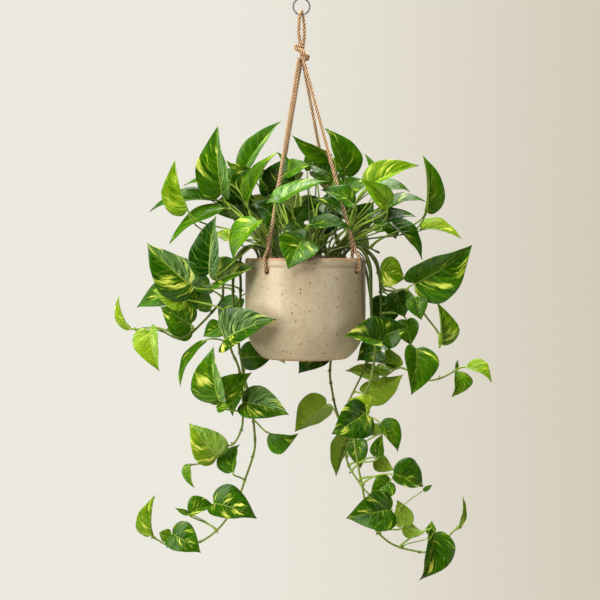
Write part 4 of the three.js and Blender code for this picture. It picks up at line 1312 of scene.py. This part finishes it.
@dataclass
class Hanger:
    """Steel ring, rope loop, knot and the four legs that end in eyes round the rim."""

    jute: Material
    steel: Material
    rope: Rope = field(default_factory=Rope)
    ring_radius: float = 10.9
    ring_wire: float = 2.2
    ring_drop: float = 9.8
    knot_x: float = 0.6
    leg_top: float = -79.6
    wall_middle: float = 77.5
    legs: dict[str, tuple[float, Pair]] = field(default_factory=lambda: {
        "front_left": (-39.0, (-3.4, -3.8)),
        "front_right": (56.0, (2.3, -4.9)),
        "back_right": (143.0, (1.5, 4.9)),
        "back_left": (-140.0, (0.3, -0.1)),
    })
    loop: Sequence[Triple] = (
        (-1.2, -1.8, -62), (-1.9, -2.6, -57), (-3.4, -3.4, -46), (-3.2, -4.4, -32),
        (-1.9, -4.9, -21), (0, 0, -16.1), (1.8, 4.9, -21), (3.6, 4.4, -32), (4, 3.4, -46),
        (3.0, 2.6, -57), (2.3, 1.8, -62),
    )
    core: Rope = field(default_factory=lambda: Rope(diameter=5.0))
    core_places: Sequence[Pair] = ((-2.4, -1.2), (2.4, -0.6), (0.4, 2.2))
    wraps: Sequence[tuple[float, float, float, float]] = (
        (-3.6, -63.2, -16, 4.9), (-2.6, -68.0, -24, 5.4), (0.6, -70.8, -42, 6.3),
        (3.4, -74.0, -26, 5.0), (3.4, -78.6, -12, 4.0),
    )
    wrap_diameter: float = 5.2
    wrap_twists: int = 4
    wrap_points: int = 44
    ring_points: int = 120
    ring_butt: int = 97
    wire_points: int = 20
    fuzz: Draft = field(default_factory=Draft)
    rng: random.Random = field(default_factory=lambda: random.Random(41))

    def build(self) -> None:
        """Build the whole hanger."""
        self.build_loop(self.build_knot())
        for label in self.legs:
            self.build_leg(label)
        place_piece(self.fuzz.piece("rope_fuzz", self.jute), "jute")
        self.build_ring()

    def leg_line(self, label: str) -> list[Vector]:
        """Lay out a leg: from the knot to the wall, through its hole and back up itself.

        Args:
            label: which leg it is.

        Returns:
            The points of its middle line.
        """
        azimuth, (x, y) = self.legs[label]
        out = outward(azimuth)
        start = Vector((x, y, self.leg_top))
        join = POT_AXIS + out * self.wall_middle + UP * (RIM + 8)
        pull = (start - join).normalized()
        aside = out.cross(UP)

        def eye(reach: float, drop: float, slip: float = 0.0) -> Vector:
            """Return a point of the eye, from the middle of the wall at the rim."""
            return POT_AXIS + out * (self.wall_middle + reach) + UP * (RIM + drop) + aside * slip

        down = [eye(1.6, 8), eye(4.9, 3, 0.4), eye(5.7, -4, 0.4), eye(5.8, -10), eye(5.6, -13.2)]
        through = [eye(3.4, -15.6), eye(0, -15.8), eye(-3.4, -15.5)]
        up = [eye(-5.7, -12.4), eye(-5.8, -8), eye(-5.6, -3), eye(-4.7, 3)]
        tail = [
            join + pull * 8 + aside * 1.9 - out * 1.4,
            join + pull * 17 + aside * 2.3 + out * 0.6,
            join + pull * 25 + aside * 0.9 + out * 2.0,
        ]
        shoulder = [start, start.lerp(join, 0.35), start.lerp(join, 0.7), join + pull * 8]
        return smooth_line([*shoulder, *down, *through, *up, *tail], self.rope.step)

    def build_leg(self, label: str) -> None:
        """Build the leg of a label."""
        turned = replace(self.rope, start_turn=math.radians(self.legs[label][0]))
        self.build_rope(f"leg_{label}", turned, self.leg_line(label), RopeEnd.TAPERED)

    def build_rope(
        self,
        label: str,
        rope: Rope,
        line: Sequence[Vector],
        end: RopeEnd,
        *on_it: bpy.types.Object,
    ) -> None:
        """Args:
            label: what its names end in.
            rope: its make.
            line: its middle line.
            end: how its far end is finished.
            *on_it: not used.
        """
        draft = Draft()
        rope.lay(draft, line, end)
        rope.fuzz(self.fuzz, line, self.rng)
        piece = draft.piece(f"laid_{label}", self.jute)
        place_piece(piece, "jute", f"rope_{label}")
        line_length(line) * MM

    def build_loop(self, knot: bpy.types.Object) -> None:
        """Build the rope loop that rides in the ring, with both its ends in the knot."""
        line = smooth_line([Vector(point) for point in self.loop], self.rope.step)
        self.build_rope("loop", self.rope, line, RopeEnd.BLUNT, knot)

    def build_knot(self) -> bpy.types.Object:
        """Build the knot: ropes wound slantwise round the ones that pass through it.

        Each wrap says how far aside and how high its middle is, its slant in degrees
        and its radius.

        Returns:
            The knot.
        """
        draft = Draft()
        for x, y in self.core_places:
            heights = ((x - 1, -58), (-x * 0.3, -70), (x, -81.5))
            line = [Vector((self.knot_x + aside, y, height)) for aside, height in heights]
            self.core.lay(draft, smooth_line(line, self.core.step))
        for x, z, tilt, radius in self.wraps:
            slant = math.tan(math.radians(tilt))
            ring = []
            for angle in turns(self.wrap_points):
                across, depth = radius * math.cos(angle), radius * 0.92 * math.sin(angle)
                ring.append(Vector((self.knot_x + x + across, depth, z + across * slant)))
            length = line_length([*ring, ring[0]])
            wrap = Rope(diameter=self.wrap_diameter, pitch=length / self.wrap_twists)
            wrap.lay(draft, ring, closed=True)
        knot = draft.piece("laid_knot", self.jute)
        place_piece(knot, "jute", "rope_knot")
        return knot

    def build_ring(self) -> None:
        """Build the round wire ring, its two ends butted."""
        draft = Draft()
        rings = []
        for i, angle in enumerate(turns(self.ring_points)):
            out = Vector((math.cos(angle), 0, math.sin(angle)))
            centre = out * self.ring_radius - UP * self.ring_drop
            wire = self.ring_wire / 2 * (0.9 if i == self.ring_butt else 1.0)
            ring = []
            for turn in turns(self.wire_points):
                place = (math.cos(turn) * wire * MM, math.sin(turn) * wire * MM, i * 0.0006)
                ring.append(draft.point(centre + around(out, TO_VIEWER, turn) * wire, place))
            rings.append(ring)
        draft.rings([*rings, rings[0]])
        place_piece(draft.piece("wire_ring", self.steel), "steel", "hang_ring")


# ---- pot and soil ---------------------------------------------------------------------


@dataclass
class HangingPot:
    """The thrown pot: one wall with a lip band, a rounded foot and four rope holes."""

    segments: int = 160
    hole_drop: float = 17.0
    hole_radius: float = 4.2
    hole_reach: Pair = (66.0, 90.0)
    hole_sides: int = 24
    throwing_depth: float = 0.12
    thrown: Pair = (-115.0, -14.0)
    profile: Sequence[Pair] = (
        (0, -132.2), (48, -132.4), (52, -133), (55, -133), (57.5, -131.6), (60.5, -129.2),
        (64.8, -124.6), (69, -119.5), (72.6, -113.4), (75.5, -107), (77.7, -100), (79.2, -93),
        (79.8, -85), (80.1, -78), (80.2, -68), (80.2, -58), (80.2, -48), (80.1, -38), (80, -28),
        (80, -20), (79.9, -14.4), (79.3, -12.8), (79.5, -11.6), (80.3, -10.4), (80.5, -8),
        (80.5, -5), (80.3, -2.6), (79.5, -1), (78.2, -0.1), (76.8, -0.2), (75.7, -1.1),
        (75.1, -3), (75, -8), (75, -14), (75, -20), (75, -40), (75, -64), (75, -86),
        (73.4, -96), (69, -110), (62, -119), (52, -126), (0, -127),
    )

    def build(self, glaze: Material, azimuths: Sequence[float]) -> None:
        """Build the pot.

        Args:
            glaze: its finish.
            azimuths: where the rope holes are.
        """
        draft = Draft()
        rings = []
        for radius, drop in self.profile[1:-1]:
            ring = []
            depth = self.throwing_depth if self.thrown[0] < drop < self.thrown[1] else 0
            for angle in turns(self.segments):
                out = Vector((math.cos(angle), math.sin(angle), 0))
                wave = depth * math.sin(drop * 0.9 + angle)
                wave += 0.25 * noise.noise(Vector((out.x * 1.5, out.y * 1.5, drop * 0.02)))
                ring.append(draft.point(POT_AXIS + out * (radius + wave) + UP * (RIM + drop)))
            rings.append(ring)
        draft.rings(rings)
        draft.cap(rings[0], POT_AXIS + UP * (RIM + self.profile[0][1]), first=True)
        draft.cap(rings[-1], POT_AXIS + UP * (RIM + self.profile[-1][1]))
        pot = draft.piece("thrown_pot", glaze)
        for azimuth in azimuths:
            self.drill(pot, outward(azimuth))
        self.mark_bare(pot)
        place_piece(pot, "glaze", "pot")

    def drill(self, pot: bpy.types.Object, out: Vector) -> None:
        """Cut one rope hole.

        Args:
            pot: the pot.
            out: the hole's direction.
        """
        draft = Draft()
        middle = POT_AXIS + UP * (RIM - self.hole_drop)
        line = [middle + out * reach for reach in self.hole_reach]
        draft.tube(line, [self.hole_radius] * 2, self.hole_sides)
        drill = draft.piece("drill")
        cut = pot.modifiers.new("hole", "BOOLEAN")
        cut.operation = "DIFFERENCE"
        cut.solver = "EXACT"
        cut.object = drill
        drilled = pot.evaluated_get(bpy.context.evaluated_depsgraph_get())
        mesh = bpy.data.meshes.new_from_object(drilled)
        pot.modifiers.remove(cut)
        pot.data = mesh
        bpy.data.objects.remove(drill)

    def mark_bare(self, pot: bpy.types.Object) -> None:
        """Mark where the glaze thins: at the lip's edge and at the foot.

        Args:
            pot: the pot.
        """
        for vertex, entry in zip(pot.data.vertices, pot.data.attributes["trait"].data):
            drop = vertex.co.z / MM - RIM
            lip = smoothstep(-5.0, -0.5, drop)
            foot = smoothstep(-130.2, -131.8, drop) * 0.9
            entry.vector = (max(lip, foot), 0, 0)


@dataclass
class PottingSoil:
    """The soil: a domed rough top with bark chips and pale grains."""

    finish: Material
    radius: float = 74.6
    rings: int = 34
    segments: int = 120
    chips: int = 420
    grains: int = 60
    body: Sequence[Pair] = (
        (0.3, -126), (52, -125.4), (68.7, -109.7), (74.6, -85.7), (74.6, -30), (74.6, -6.5),
    )
    draft: Draft = field(default_factory=Draft)
    rng: random.Random = field(default_factory=lambda: random.Random(7))

    def height(self, x: float, y: float) -> float:
        """Work out the height of the soil's top, in millimetres.

        Args:
            x: the place across.
            y: the place in depth.

        Returns:
            The height.
        """
        reach = math.hypot(x - POT_AXIS.x, y) / self.radius
        crown = 2.4 - 7.2 * smoothstep(0.45, 1.0, reach)
        rough = noise.noise(Vector((x * 0.11, y * 0.11, 0))) * 1.4
        rough += noise.noise(Vector((x * 0.45, y * 0.45, 5))) * 0.6
        return RIM + crown + rough - 0.8

    def build(self) -> None:
        """Build the soil."""
        draft, rng = self.draft, self.rng
        rings = [self.ring(radius, lambda x, y, d=drop: RIM + d) for radius, drop in self.body]
        for i in range(self.rings):
            radius = self.radius * (1 - i / self.rings)
            rings.append(self.ring(max(radius, 0.4), self.height))
        draft.rings(rings)
        draft.cap(rings[0], POT_AXIS + UP * (RIM + self.body[0][1]), first=True)
        draft.cap(rings[-1], POT_AXIS + UP * self.height(POT_AXIS.x, 0))
        for i in range(self.chips + self.grains):
            pale = i >= self.chips
            reach = math.sqrt(rng.random()) * (self.radius - 4)
            angle = rng.uniform(0, 2 * math.pi)
            x, y = POT_AXIS.x + reach * math.cos(angle), reach * math.sin(angle)
            size = rng.uniform(0.7, 1.4) if pale else rng.uniform(1.2, 3.4)
            self.chip(Vector((x, y, self.height(x, y))), size, pale)
        place_piece(draft.piece("rough_soil", self.finish), "soil", "soil")

    def ring(self, radius: float, height: Callable[[float, float], float]) -> list[int]:
        """Add one ring of points.

        Args:
            radius: the ring's radius.
            height: gives the height at a place.

        Returns:
            The points' numbers.
        """
        ring = []
        for angle in turns(self.segments):
            x, y = POT_AXIS.x + radius * math.cos(angle), radius * math.sin(angle)
            ring.append(self.draft.point(Vector((x, y, height(x, y)))))
        return ring

    def chip(self, where: Vector, size: float, pale: bool) -> None:
        """Add one bark chip or grain, half sunk.

        Args:
            where: its middle.
            size: half its length.
            pale: whether it is a pale grain.
        """
        rng = self.rng
        along = Vector((rng.uniform(-1, 1), rng.uniform(-1, 1), rng.uniform(-0.3, 0.3)))
        long, thick = (1.0, 0.9) if pale else (1.5, 0.5)
        reach, girth = along.normalized() * size * long, size * thick
        trait = (0, 1, 0) if pale else (rng.uniform(0.4, 1), 0, 0)
        radii = [girth * rng.uniform(0.5, 0.9), girth, girth * rng.uniform(0.4, 0.9)]
        self.draft.tube([where - reach, where, where + reach], radii, 5, trait=trait)


# ---- leaves and stems -----------------------------------------------------------------


SMALL_LEAF = 18.0  # narrower blades take the small form
BROAD_LEAF = 46.0  # wider ones take the broad form
HALF_WIDTH = 0.42  # a usual blade's half width by its length


class LeafForm(Enum):
    """Half outlines of a blade: share of its length and of its half width."""

    BROAD = (
        (0.0, 0.02), (-0.045, 0.13), (-0.088, 0.32), (-0.08, 0.54), (-0.02, 0.79), (0.09, 0.965),
        (0.22, 1.02), (0.37, 0.97), (0.53, 0.80), (0.68, 0.57), (0.81, 0.33), (0.91, 0.135),
        (0.965, 0.045), (1.0, 0.0),
    )
    USUAL = (
        (0.0, 0.02), (-0.04, 0.14), (-0.076, 0.34), (-0.06, 0.58), (0.01, 0.83), (0.12, 0.99),
        (0.26, 1.03), (0.41, 0.94), (0.56, 0.76), (0.71, 0.52), (0.83, 0.29), (0.92, 0.115),
        (0.97, 0.04), (1.0, 0.0),
    )
    SMALL = (
        (0.0, 0.03), (-0.03, 0.16), (-0.045, 0.38), (0.0, 0.66), (0.1, 0.88), (0.24, 1.0),
        (0.4, 0.97), (0.56, 0.79), (0.71, 0.53), (0.84, 0.27), (0.94, 0.09), (1.0, 0.0),
    )

    @classmethod
    def of(cls, width: float) -> "LeafForm":
        """Choose the form by a leaf's width."""
        narrow = cls.SMALL if width < SMALL_LEAF else cls.USUAL
        return cls.BROAD if width >= BROAD_LEAF else narrow

    def half_outline(self, count: int) -> list[Pair]:
        """Lay points at even distances along the outline of a blade of usual proportions.

        Args:
            count: how many stretches it has.

        Returns:
            The points, one more than the stretches.
        """
        marks = [Vector((share, reach * HALF_WIDTH, 0)) for share, reach in self.value]
        dense = smooth_line(marks, 0.004)
        runs = [0.0]
        for a, b in zip(dense, dense[1:]):
            runs.append(runs[-1] + (b - a).length)
        rows = []
        j = 0
        for k in range(count + 1):
            goal = runs[-1] * k / count
            while j < len(runs) - 2 and runs[j + 1] < goal:
                j += 1
            share = (goal - runs[j]) / max(runs[j + 1] - runs[j], 1e-9)
            spot = dense[j].lerp(dense[j + 1], min(share, 1.0))
            rows.append((spot.x, spot.y / HALF_WIDTH))
        return rows


@dataclass
class Blade:
    """One leaf blade as a thin closed sheet with a folded midrib and a waved edge."""

    leaf: Leaf
    base: Vector
    tip: Vector
    face: Vector
    rng: random.Random
    rows: int = 26
    small_rows: int = 14
    steps: Sequence[float] = (0.0, 0.05, 0.16, 0.32, 0.5, 0.68, 0.84, 0.965, 1.0)
    thickness: float = 0.5

    def __post_init__(self) -> None:
        """Work out the blade's own directions and its draws."""
        span = self.tip - self.base
        self.length = span.length
        self.along = span.normalized()
        level = (self.face - self.along * self.face.dot(self.along)).normalized()
        right = self.along.cross(level)
        turn = math.radians(self.leaf.roll)
        self.normal = around(level, right, turn)
        self.side = self.along.cross(self.normal)
        self.lean = math.radians(self.leaf.fold)
        self.seed = self.rng.random()
        self.waves = self.rng.uniform(1.6, 2.6)
        self.phase = (self.rng.uniform(0, 6.28), self.rng.uniform(0, 6.28))
        self.curl = self.rng.uniform(0.12, 0.3)
        self.skew = self.rng.uniform(-0.04, 0.04)
        if self.leaf.width < SMALL_LEAF:
            self.rows = self.small_rows

    def spot(self, share: float, reach: float, run: float, side: int) -> Vector:
        """Find a place on the blade's middle sheet.

        Args:
            share: how far along the blade it is.
            reach: how far from the midrib it is, in half widths.
            run: how far from the midrib it is, as a share of the way to the edge.
            side: 1 or -1.

        Returns:
            The place in millimetres.
        """
        half = self.leaf.width / 2 * (1 + self.skew * side)
        across = reach * half
        rise = across * math.sin(self.lean) * (1.2 - 0.2 * min(reach, 1))
        rise += 4 * self.leaf.arch * share * (1 - share)
        rise -= 0.045 * half * run**3 * (1 - share)
        rise += 0.03 * half * run**2 * math.sin(share * self.waves * 6.28 + self.phase[side > 0])
        rise -= self.curl * self.length * max(share - 0.7, 0) ** 2
        rise -= 0.45 * math.exp(-((across / 1.6) ** 2)) * (1 - share)
        swell = Vector((share * 2.1, reach * side * 1.1, self.seed * 40))
        rise += noise.noise(swell) * 0.022 * self.length * min(1, share * 4 + run)
        return (
            self.base
            + self.along * share * self.length
            + self.side * side * across * math.cos(self.lean)
            + self.normal * rise
        )

    def add(self, draft: Draft) -> None:
        """Add the blade to a mesh.

        Args:
            draft: the mesh.
        """
        outline = LeafForm.of(self.leaf.width).half_outline(self.rows)
        tops: dict[tuple[int, int], int] = {}
        unders: dict[tuple[int, int], int] = {}
        last = len(self.steps) - 1
        for k, (edge_share, edge_reach) in enumerate(outline):
            lane = k / self.rows
            mid_share = lane**2.2
            for side in (-1, 1):
                for j, run in enumerate(self.steps):
                    key = (k, j * side)
                    if key in tops:
                        continue
                    if k == self.rows and j:
                        tops[key] = tops[(k, 0)]
                        unders[key] = tops[(k, 0)]
                        continue
                    share = mid_share + (edge_share - mid_share) * run
                    middle = self.spot(share, edge_reach * run, run, side)
                    place = (lane, run, side)
                    sheen_mark = 2 if self.leaf.sheen_half == side else 0
                    trait = (self.seed, self.leaf.streak + sheen_mark, self.leaf.tone)
                    rim = j == last or k in (0, self.rows)
                    half = 0 if rim else self.thickness / 2
                    rib = 0.55 * (1 - lane) ** 0.7 if j == 0 and not rim else 0
                    top = draft.point(middle + self.normal * half, place, trait)
                    tops[key] = top
                    if rim:
                        unders[key] = top
                    else:
                        low = middle - self.normal * (half + rib)
                        unders[key] = draft.point(low, (lane, run, side + 4), trait)
        for k in range(self.rows):
            for j in range(last):
                for side in (-1, 1):
                    a, b = (k, j * side), (k, (j + 1) * side)
                    c, d = (k + 1, (j + 1) * side), (k + 1, j * side)
                    order = (a, b, c, d) if side < 0 else (d, c, b, a)
                    draft.face([tops[key] for key in order])
                    draft.face([unders[key] for key in reversed(order)])


@dataclass
class LeafyStem:
    """One stem with its petioles and blades, as one piece."""

    name: str
    plan: StemPlan
    thick: float = 2.1
    thin: float = 1.3
    petiole: float = 1.15
    root_depth: float = 16.0
    knuckle: float = 0.55
    shoots: Sequence[float] = (-5.5, 4.5)
    shoot_end: float = 6.0
    first_nub: float = 4.0
    stalk_spread: float = 7.0
    stretch: float = 18.0
    rng: random.Random = field(init=False)
    draft: Draft = field(init=False, default_factory=Draft)

    def __post_init__(self) -> None:
        """Seed the draws by the stem's name and lay out the points and the knots."""
        self.rng = random.Random(self.name)
        self.in_crown = self.name.startswith("crown")
        self.points = self.line()
        self.places = self.knots()

    def root_line(self) -> list[Vector]:
        """Return the stretch that stands in the soil."""
        x, y = self.plan.root
        return [Vector((x, y, RIM - self.root_depth)), Vector((x, y, RIM + 5))]

    def line(self) -> list[Vector]:
        """Return the points that the stem's middle line goes through."""
        return self.root_line() + [seen(point) for point in self.plan.line]

    def blades(self) -> list[Blade]:
        """Return the stem's blades."""
        ends = [(leaf, seen(leaf.base), seen(leaf.tip)) for leaf in self.plan.leaves]
        return [Blade(*row, TO_VIEWER, self.rng) for row in ends]

    def add_stem(self) -> None:
        """Add the stem with a knuckle at each knot."""
        line = self.points
        points, places = [line[0].copy()], [0.0]
        for i in range(len(line) - 1):
            count = max(2, round((line[i + 1] - line[i]).length / 2.2))
            places += [i + n / count for n in range(1, count + 1)]
            points += [smooth_point(line, i + n / count) for n in range(1, count + 1)]
        spots = [smooth_point(line, knot) for knot in self.places]
        radii = []
        for point, place in zip(points, places):
            radius = self.thick + (self.thin - self.thick) * place / (len(line) - 1)
            near = min([(point - spot).length for spot in spots], default=99.0)
            radii.append(radius * 0.92 + self.knuckle * math.exp(-((near / 2.4) ** 2)))
        self.draft.tube(points, radii, 10, 1, (self.rng.random(), 1, 0))

    def add_nubs(self) -> None:
        """Add short brown root nubs at the knots of a vine."""
        for knot in self.places:
            if knot < self.first_nub:
                continue
            low, here, high = (smooth_point(self.points, knot + off) for off in (-0.1, 0, 0.1))
            along = (high - low).normalized()
            for _ in range(self.rng.choice((1, 1, 2))):
                side = along.orthogonal().normalized()
                out = around(side, along.cross(side), self.rng.uniform(0, 2 * math.pi))
                reach = self.rng.uniform(2.4, 4.6)
                tip = here + out * reach + along * self.rng.uniform(0.2, 1.6) - UP * 0.6
                middle = here.lerp(tip, 0.6) + out * 0.3
                trait = (self.rng.random(), 1, 1)
                self.draft.tube([here, middle, tip], [0.95, 0.75, 0.4], 6, 1, trait)

    def add_petiole(self, start: Vector, blade: Blade) -> None:
        """Add the stalk between the stem and a blade, running on under its midrib.

        Args:
            start: where it leaves the stem.
            blade: the blade that it carries.
        """
        reach = (blade.base - start).length
        toward = (blade.base - start).normalized()
        first = start + toward * (0.2 * reach) + UP * (0.16 * reach)
        second = blade.base - blade.along * (0.3 * reach) - blade.normal * (0.04 * reach)
        count = max(5, round(reach / 2.5))
        points = bezier(start, first, second, blade.base - blade.normal * 0.7, count)
        under = [blade.spot(share, 0, 0, 1) - blade.normal * 0.75 for share in (0.06, 0.14)]
        width = blade.leaf.width
        size = self.petiole * (0.6 if width < SMALL_LEAF else 0.92 + width / 700)
        radii = []
        for n in range(count + 1):
            share = n / count
            swell = 0.45 * math.exp(-((share * reach / 5) ** 2))
            radii.append(size * (1.15 - 0.25 * share + swell))
        points += under
        radii += [size * 0.6, size * 0.25]
        self.draft.tube(points, radii, 8, 1, (self.rng.random(), 0.0, 0))

    def add_shoots(self) -> None:
        """Add bare shoots that leave the soil beside a vine and join it below the rim."""
        last = min(len(self.points) - 2.0, self.shoot_end)
        for sway in self.shoots:
            sway *= self.rng.uniform(0.8, 1.2)
            count = round(last * 9)
            points, radii = [], []
            for n in range(count + 1):
                share = n / count
                here = smooth_point(self.points, share * last)
                out = Vector((here.x, here.y, 0)).normalized()
                swell = math.sin(math.pi * share) ** 0.7
                wave = 1 + 0.25 * math.sin(share * 11 + sway)
                lift = 1.2 * swell
                points.append(here + UP.cross(out) * (sway * swell * wave) + out * lift)
                radii.append(self.thin * (0.9 - 0.25 * share))
            trait = (self.rng.random(), 1, self.rng.uniform(0.25, 0.6))
            self.draft.tube(points, radii, 8, 1, trait)

    def add_stalks(self, blades: Sequence[Blade]) -> None:
        """Add stalks that come straight out of the soil.

        Args:
            blades: the blades of the crown that they reach.
        """
        x, y = self.plan.root
        spread = self.stalk_spread
        for blade in blades:
            turn = self.rng.uniform(0, 2 * math.pi)
            foot = Vector((x + spread * math.cos(turn), y + spread * math.sin(turn), RIM - 12))
            end = blade.spot(0.03, 0, 0, 1) - blade.normal * 0.9
            reach = (end - foot).length
            second = end - blade.along * (0.25 * reach) - UP * (0.2 * reach)
            count = max(6, round(reach / 4))
            points = bezier(foot, foot + UP * (0.45 * reach), second, end, count)
            radii = [self.petiole * (1.1 - 0.35 * n / count) for n in range(count + 1)]
            # painted shade: the crown's stalks are darkened at random towards olive and brown, for
            # the leaves over them
            trait = (self.rng.random(), self.rng.uniform(0, 1), self.rng.uniform(0, 0.35))
            self.draft.tube(points, radii, 8, 1, trait)

    def knots(self) -> list[float]:
        """Work out the places of the stem's knots: at its leaves and between them.

        Returns:
            The places on it.
        """
        line = self.points
        places = sorted(leaf.at + 1 for leaf in self.plan.leaves if leaf.at + 1 < len(line) - 1)
        more = []
        if len(line) > 8:
            spots = [smooth_point(line, place) for place in places]
            place = 4.0
            while place < len(line) - 1.5:
                here = smooth_point(line, place)
                if min([(here - spot).length for spot in spots], default=99) > self.stretch:
                    more.append(place)
                    spots.append(here)
                place += 0.35
        return sorted(places + more)

    def starts(self) -> list[Vector]:
        """Return where each petiole leaves the stem; at the crown close over the soil."""
        places = [leaf.at + (0.45 if self.in_crown else 1) for leaf in self.plan.leaves]
        return [smooth_point(self.points, max(place, 0.9)) for place in places]

    def build(self, leaf: Material, stem: Material) -> None:
        """Build the piece.

        Args:
            leaf: the blades' finish.
            stem: the stalks' finish.
        """
        self.add_stem()
        self.add_nubs()
        blades = self.blades()
        for start, blade in zip(self.starts(), blades):
            self.add_petiole(start, blade)
            blade.add(self.draft)
        if self.in_crown:
            self.add_stalks(blades)
        else:
            self.add_shoots()
        piece = self.draft.piece(f"leafy_{self.name}", leaf, stem)
        place_piece(piece, "leaf", self.name)


@dataclass
class CrownFan(LeafyStem):
    """A short stem at the crown's back whose leaves fan out over the rim by a rule."""

    order: int = 0
    middle: Pair = (2.0, 14.0)
    first_azimuth: float = 35.0
    step: float = 14.5
    leaves: int = 3
    rise: float = 38.0
    starts_at: Sequence[float] = (1.55, 1.75, 1.95)
    tiers: Sequence[tuple[Pair, Pair]] = (
        ((69, -301), (112, -346)), ((66, -260), (113, -300)), ((54, -228), (102, -264)),
    )

    def line(self) -> list[Vector]:
        """Return the points that the stem's middle line goes through."""
        x, y = self.plan.root
        return self.root_line() + [Vector((x * 1.1, y * 1.1, RIM + self.rise))]

    def blades(self) -> list[Blade]:
        """Work out the fan's blades.

        Returns:
            The blades.
        """
        made = []
        for i in range(self.leaves):
            place = self.order * self.leaves + i
            azimuth = math.radians(self.first_azimuth + place * self.step)
            ends = []
            for reach, height in self.tiers[place % len(self.tiers)]:
                x = self.middle[0] + math.cos(azimuth) * reach
                y = self.middle[1] + math.sin(azimuth) * reach
                ends.append(Vector((x, y, height)))
            made.append(Blade(self.plan.leaves[i], ends[0], ends[1], UP, self.rng))
        return made

    def knots(self) -> list[float]:
        """Return the places of the stem's knots."""
        return list(self.starts_at)

    def starts(self) -> list[Vector]:
        """Return where each petiole leaves the stem."""
        return [smooth_point(self.points, place) for place in self.starts_at]


FAN_LEAVES = [Leaf(0, ZERO, ZERO, 44, 0, 16, 5, streak, 0.4) for streak in (0.3, 0.5, 0.2)]
FAN_ROOTS = {"crown_back_right": (26, 30), "crown_back": (0, 36), "crown_back_left": (-31, 24)}


def main() -> None:
    """Build the studio, the hanger, the pot, the soil and the plant, in this order."""
    logging.basicConfig(level=logging.INFO, format="%(name)s %(message)s")
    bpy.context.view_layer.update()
    Camera().build()
    for make_group in (mottle_group, speck_group, fibre_group):
        make_group()
    hanger = Hanger(JuteFinish().build(), SteelFinish().build())
    hanger.build()
    Studio().build()
    HangingPot().build(GlazeFinish().build(), [leg[0] for leg in hanger.legs.values()])
    PottingSoil(SoilFinish().build()).build()
    leaf, stem = LeafFinish().build(), StemFinish().build()
    for name, plan in PLANT.items():
        LeafyStem(name, plan).build(leaf, stem)
    for order, (name, root) in enumerate(FAN_ROOTS.items()):
        CrownFan(name, StemPlan(root, (), FAN_LEAVES), order=order).build(leaf, stem)


if __name__ == "__main__":
    main()
